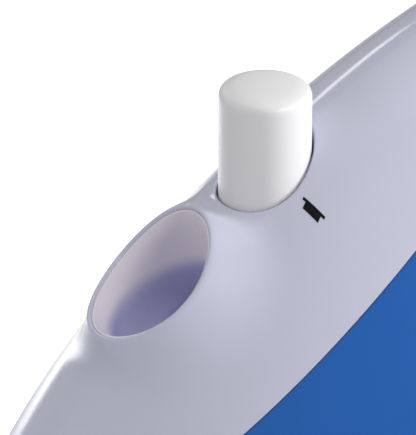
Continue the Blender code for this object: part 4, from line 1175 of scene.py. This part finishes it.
rear = {
    "back": -0.1875, "centreZ": 0.045, "screws": ((0.026, 0.058), (-0.026, 0.058)),
    "screwWay": ((0.0038, 0.0022), (0.0020, 0.006)),  # radius and depth of the countersink and of the bore
    "side": [(0.020, 0.0100), (0.034, 0.0103), (0.0382, 0.0150), (0.0386, 0.034), (0.0380, 0.052),
             (0.0335, 0.0620), (0.0245, 0.0680), (0.0196, 0.0770), (0.0178, 0.0880), (0.0150, 0.0960),
             (0.0080, 0.0996)],
    "rings": ((0.0, 0.010), (0.0, 0.0062), (0.0007, 0.0056), (0.0007, 0.0046), (0.0, 0.0040), (0.0, 0.0007),
              (0.0007, 0.0), (0.0032, 0.0)),  # depth and inset: a groove runs round near the edge
}


def smoothOutline(corners, steps):
    # a closed curve through all the corners
    made = []
    count = len(corners)
    for i in range(count):
        a, b, c, d = (Vector(corners[(i + k) % count]) for k in (-1, 0, 1, 2))
        for step in range(steps):
            t = step / steps
            made.append(0.5 * (2 * b + (c - a) * t + (2 * a - 5 * b + 4 * c - d) * t * t
                               + (3 * b - a - 3 * c + d) * t ** 3))
    return made


def buildRearCover():
    side = rear["side"]
    outline = smoothOutline(side + [(-x, z) for x, z in reversed(side)], 6)
    ring = np.array([tuple(p) for p in outline + outline[:1]])
    centre = np.array([0.0, rear["centreZ"]])
    away = ring - centre
    rows = []
    for depth, inset in rear["rings"]:
        scaled = centre + away * (1 - inset / np.linalg.norm(away, axis=1))[:, None]
        rows.append(world(rear["back"] + depth, scaled[:, 0], scaled[:, 1]))
    piece = gridPiece("heelPlate", np.array(rows), closed=True)
    fixCaps(piece)
    for x, z in rear["screws"]:
        (wide, shallow), (narrow, deep) = rear["screwWay"]
        profile = [(0, -0.001, 0), (wide, -0.001, 0), (wide, shallow, 0), (narrow, shallow, 0), (narrow, deep, 0),
                   (0, deep, 0)]
        booleanWith(piece, turnedPiece("screwWay", profile, (x, form["knobY"] - rear["back"], z), 40, math.pi / 2))
    finishPiece(piece, "white_plastic", "iron", "rear_cover", smooth=35)
    shelf = boxPiece("heelShelf", (0, form["knobY"] + 0.1725, 0.0116), (0.066, 0.022, 0.0024), 0.0007)
    finishPiece(shelf, "white_plastic", "iron", smooth=35)


dial = {
    "f": -0.098, "z": 0.0670, "radius": 0.023, "height": 0.0085, "teeth": 30, "toothDepth": 0.0005,
    "markRadius": 0.0262, "markZ": 0.06784,
    "dots": ((1, -20), (2, 35), (3, 92)),  # how many in a group, and where it starts in degrees
}


def heatMarks():
    # groups of one, two and three dots, and a row of finer ticks
    marks = [(start + k * 6.5, 0.00060, 20) for count, start in dial["dots"] for k in range(count)]
    marks += [(-42 - k * 6, 0.00034, 12) for k in range(13)]
    z, made = dial["markZ"], []
    for degrees, radius, segments in marks:
        profile = [(0, z, 0), (radius, z, 0), (radius - 0.00002, z + 0.00012, 0.00004), (0, z + 0.00013, 0)]
        x = dial["markRadius"] * math.cos(math.radians(degrees))
        f = dial["f"] - dial["markRadius"] * math.sin(math.radians(degrees))
        made.append(turnedPiece("heatDot", profile, (x, form["knobY"] - f, 0.0001), segments))
    joined = joinAll(made)
    joined.name = joined.data.name = "heatMarks"
    return joined


def buildDial():
    centre = (0, form["knobY"] - dial["f"], dial["z"])
    high, radius = dial["height"], dial["radius"]

    def ripple(r, z, angle):
        if r < radius - 0.0012 or z < 0.0006:
            return 0.0
        return dial["toothDepth"] * (0.5 + 0.5 * math.cos(dial["teeth"] * angle)) ** 1.5

    piece = turnedPiece("heatDial", [
        (0.0034, 0.005, 0), (0.0034, 0.0, 0), (radius - 0.0006, 0.0, 0.0004), (radius, 0.0012, 0.0004),
        (radius, high - 0.0012, 0.0010), (radius - 0.0022, high, 0.0010), (radius - 0.0035, high - 0.0006, 0.0006),
        (0.0, high - 0.0006, 0)], centre, 360, 0.0, ripple)
    fixCaps(piece)
    bar = boxPiece("fingerBar", (0, centre[1], dial["z"] + high + 0.0010), (0.036, 0.0055, 0.0050), 0.0016, 4)
    booleanWith(piece, bar, "UNION")
    finishPiece(piece, "accent_blue", "temperature_dial", "temperature_dial")
    mark = boxPiece("pointerMark", (0.0118, centre[1], dial["z"] + high + 0.00352), (0.0085, 0.0011, 0.00010),
                    0.00004)
    finishPiece(mark, "print_white", "temperature_dial", slot="white_plastic", smooth=None)
    ring = turnedPiece("dialRing", [(0.0240, 0.0667, 0), (0.0285, 0.0667, 0), (0.0285, 0.0677, 0.0006),
                                    (0.0240, 0.0680, 0.0003), (0.0240, 0.0667, 0)], (0, centre[1], 0), 160)
    finishPiece(ring, "skirt_grey", "iron", "dial_ring")
    finishPiece(heatMarks(), "print_black", "iron", slot="skirt_grey", smooth=None)


lens = {"f": -0.138, "radius": 0.0036}


def buildSmallRoundPieces():
    bush = turnedPiece("inletBush", [(0.0040, 0.0010, 0.0004), (0.0040, -0.0045, 0.0002), (0.0068, -0.0045, 0.0004),
                                     (0.0068, 0.0003, 0), (0.0088, 0.0006, 0.0003), (0.0084, 0.0017, 0.0006),
                                     (0.0052, 0.0017, 0.0005), (0.0040, 0.0010, 0)],
                       inlet["centre"], 96, -inlet["tilt"])
    finishPiece(bush, "black_rubber", "iron", "cord_inlet_bush", smooth=50)
    top, radius = float(ridgeHeight(lens["f"])), lens["radius"]
    piece = turnedPiece("pilotLens", [(0, top - 0.004, 0), (radius - 0.0002, top - 0.004, 0),
                                      (radius, top + 0.0001, 0.0003), (radius - 0.0006, top + 0.0006, 0.0005),
                                      (0, top + 0.0009, 0)], (0, form["knobY"] - lens["f"], 0), 64)
    finishPiece(piece, "amber_lens", "iron", "pilot_lens", smooth=50)


# The print beside the knob: a thin bar with a shorter, thicker block on its nose side.
steamPrint = {
    "start": (-0.00110, 0.01150), "end": (-0.00292, 0.01624), "barWidth": 0.00045,
    "blockOffset": 0.00071, "blockWidth": 0.00101, "blockInset": 0.00075, "height": 0.00004,
    "thickness": 0.00006,
}


def buildPrint():
    start, end = np.array(steamPrint["start"]), np.array(steamPrint["end"])
    along = (end - start) / np.linalg.norm(end - start)
    length = np.linalg.norm(end - start)
    across = np.array([along[1], -along[0]])
    shapes = (("steamBar", 0.0, 0.0, steamPrint["barWidth"]),
              ("steamBlock", steamPrint["blockOffset"], steamPrint["blockInset"], steamPrint["blockWidth"]))
    for name, offset, inset, width in shapes:
        s = np.linspace(inset, length - inset, 40)
        w = np.linspace(-width / 2, width / 2, 8)
        grid = start + along * s[None, :, None] + across * (offset + w)[:, None, None]
        f, x = grid[..., 0], grid[..., 1]
        z = bonnetSurface(f, x) + steamPrint["height"]
        piece = gridPiece(name, world(f, x, z))
        if piece.data.polygons[0].normal.z < 0:
            inEditMode(piece, bpy.ops.mesh.flip_normals)
        thicken(piece, steamPrint["thickness"])
        finishPiece(piece, "print_black", "iron", slot="white_plastic", smooth=50)


for build in (buildBonnet, buildTank, buildBodyShell, buildHandleCover, buildHandleGrip, buildKnob, buildSpring,
              buildFunnel, buildSole, buildSkirt, buildRearCover, buildDial, buildSmallRoundPieces, buildPrint):
    build()
print("pieces ready")


# Camera, floor and light.
view = {
    "round": math.radians(33.15), "up": math.radians(27.5), "distance": 1.3,
    "frame": 0.08333, "left": 0.0109, "down": 0.0112,
}


def buildCamera():
    c, s = math.cos(view["round"]), math.sin(view["round"])
    ce, se = math.cos(view["up"]), math.sin(view["up"])
    towards = Vector((c * ce, -s * ce, se))
    right = Vector((s, c, 0))
    upwards = Vector((-c * se, s * se, ce))
    target = Vector((0, form["knobY"], form["ridgeZ"])) - right * view["left"] - upwards * view["down"]
    data = bpy.data.cameras.new("camera")
    camera = bpy.data.objects.new("camera", data)
    bpy.context.scene.collection.objects.link(camera)
    camera.location = target + towards * view["distance"]
    camera.rotation_euler = (-towards).to_track_quat("-Z", "Y").to_euler()
    data.lens = data.sensor_width * view["distance"] / view["frame"]
    data.clip_end = 20
    bpy.context.scene.camera = camera


def buildFloor():
    deselect()
    bpy.ops.mesh.primitive_plane_add(size=6, location=(0, 0, 0))
    floor = bpy.context.object
    floor.name = floor.data.name = "floor"
    made, tree, shader = newMaterial("paleFloor")
    # seen directly it is white, while what it throws back at the object is softer
    path = tree.nodes.new("ShaderNodeLightPath")
    tree.links.new(mixColour(tree, path.outputs["Is Camera Ray"], (0.5, 0.5, 0.52, 1), (0.96, 0.96, 0.96, 1)),
                   shader.inputs["Base Color"])
    tree.links.new(mixColour(tree, path.outputs["Is Camera Ray"], (0, 0, 0, 1), (0.3, 0.3, 0.3, 1)),
                   shader.inputs["Emission Color"])
    shader.inputs["Emission Strength"].default_value = 1.0
    shader.inputs["Roughness"].default_value = 0.9
    shader.inputs["Specular IOR Level"].default_value = 0.1
    floor.data.materials.append(made)


studio = {
    "sky": 0.40, "aim": (0, -0.05, 0.07),
    "lights": {  # place, size, power
        "key": ((0.57, 0.83, 0.42), (0.30, 0.30), 9.3),
        "port": ((0.95, 0.12, 0.62), (0.30, 0.30), 3.1),
        "top": ((-0.1, 0.0, 1.3), (1.4, 1.4), 2.5),
        "fill": ((-0.42, -0.88, 0.30), (0.50, 0.50), 1.6),
        "rimHigh": ((-0.89, 0.0, 0.55), (0.25, 0.12), 0.35),
        "rimLow": ((-0.235, -0.05, 0.08), (0.12, 0.12), 0.40),
    },
    "downwards": ("rimLow",),  # lights a patch of floor, which the nose's ridge mirrors
    "unmirrored": ("fill",),
}


def areaLight(name, position, size, power):
    data = bpy.data.lights.new(name, "AREA")
    data.shape = "RECTANGLE"
    data.size, data.size_y = size
    data.energy = power
    made = bpy.data.objects.new(name, data)
    bpy.context.scene.collection.objects.link(made)
    made.location = position
    aim = (position[0], position[1] + 1e-7, 0) if name in studio["downwards"] else studio["aim"]
    made.rotation_euler = (Vector(aim) - Vector(position)).to_track_quat("-Z", "Y").to_euler()
    made.visible_camera = False
    made.visible_glossy = name not in studio["unmirrored"]


def buildLight():
    sky = bpy.data.worlds.new("studio")
    bpy.context.scene.world = sky
    sky.use_nodes = True
    back = sky.node_tree.nodes["Background"]
    back.inputs["Color"].default_value = (1, 1, 1, 1)
    back.inputs["Strength"].default_value = studio["sky"]
    for name, (position, size, power) in studio["lights"].items():
        areaLight(name, position, size, power)
    bpy.context.scene.view_settings.view_transform = "Standard"


buildCamera()
buildFloor()
buildLight()
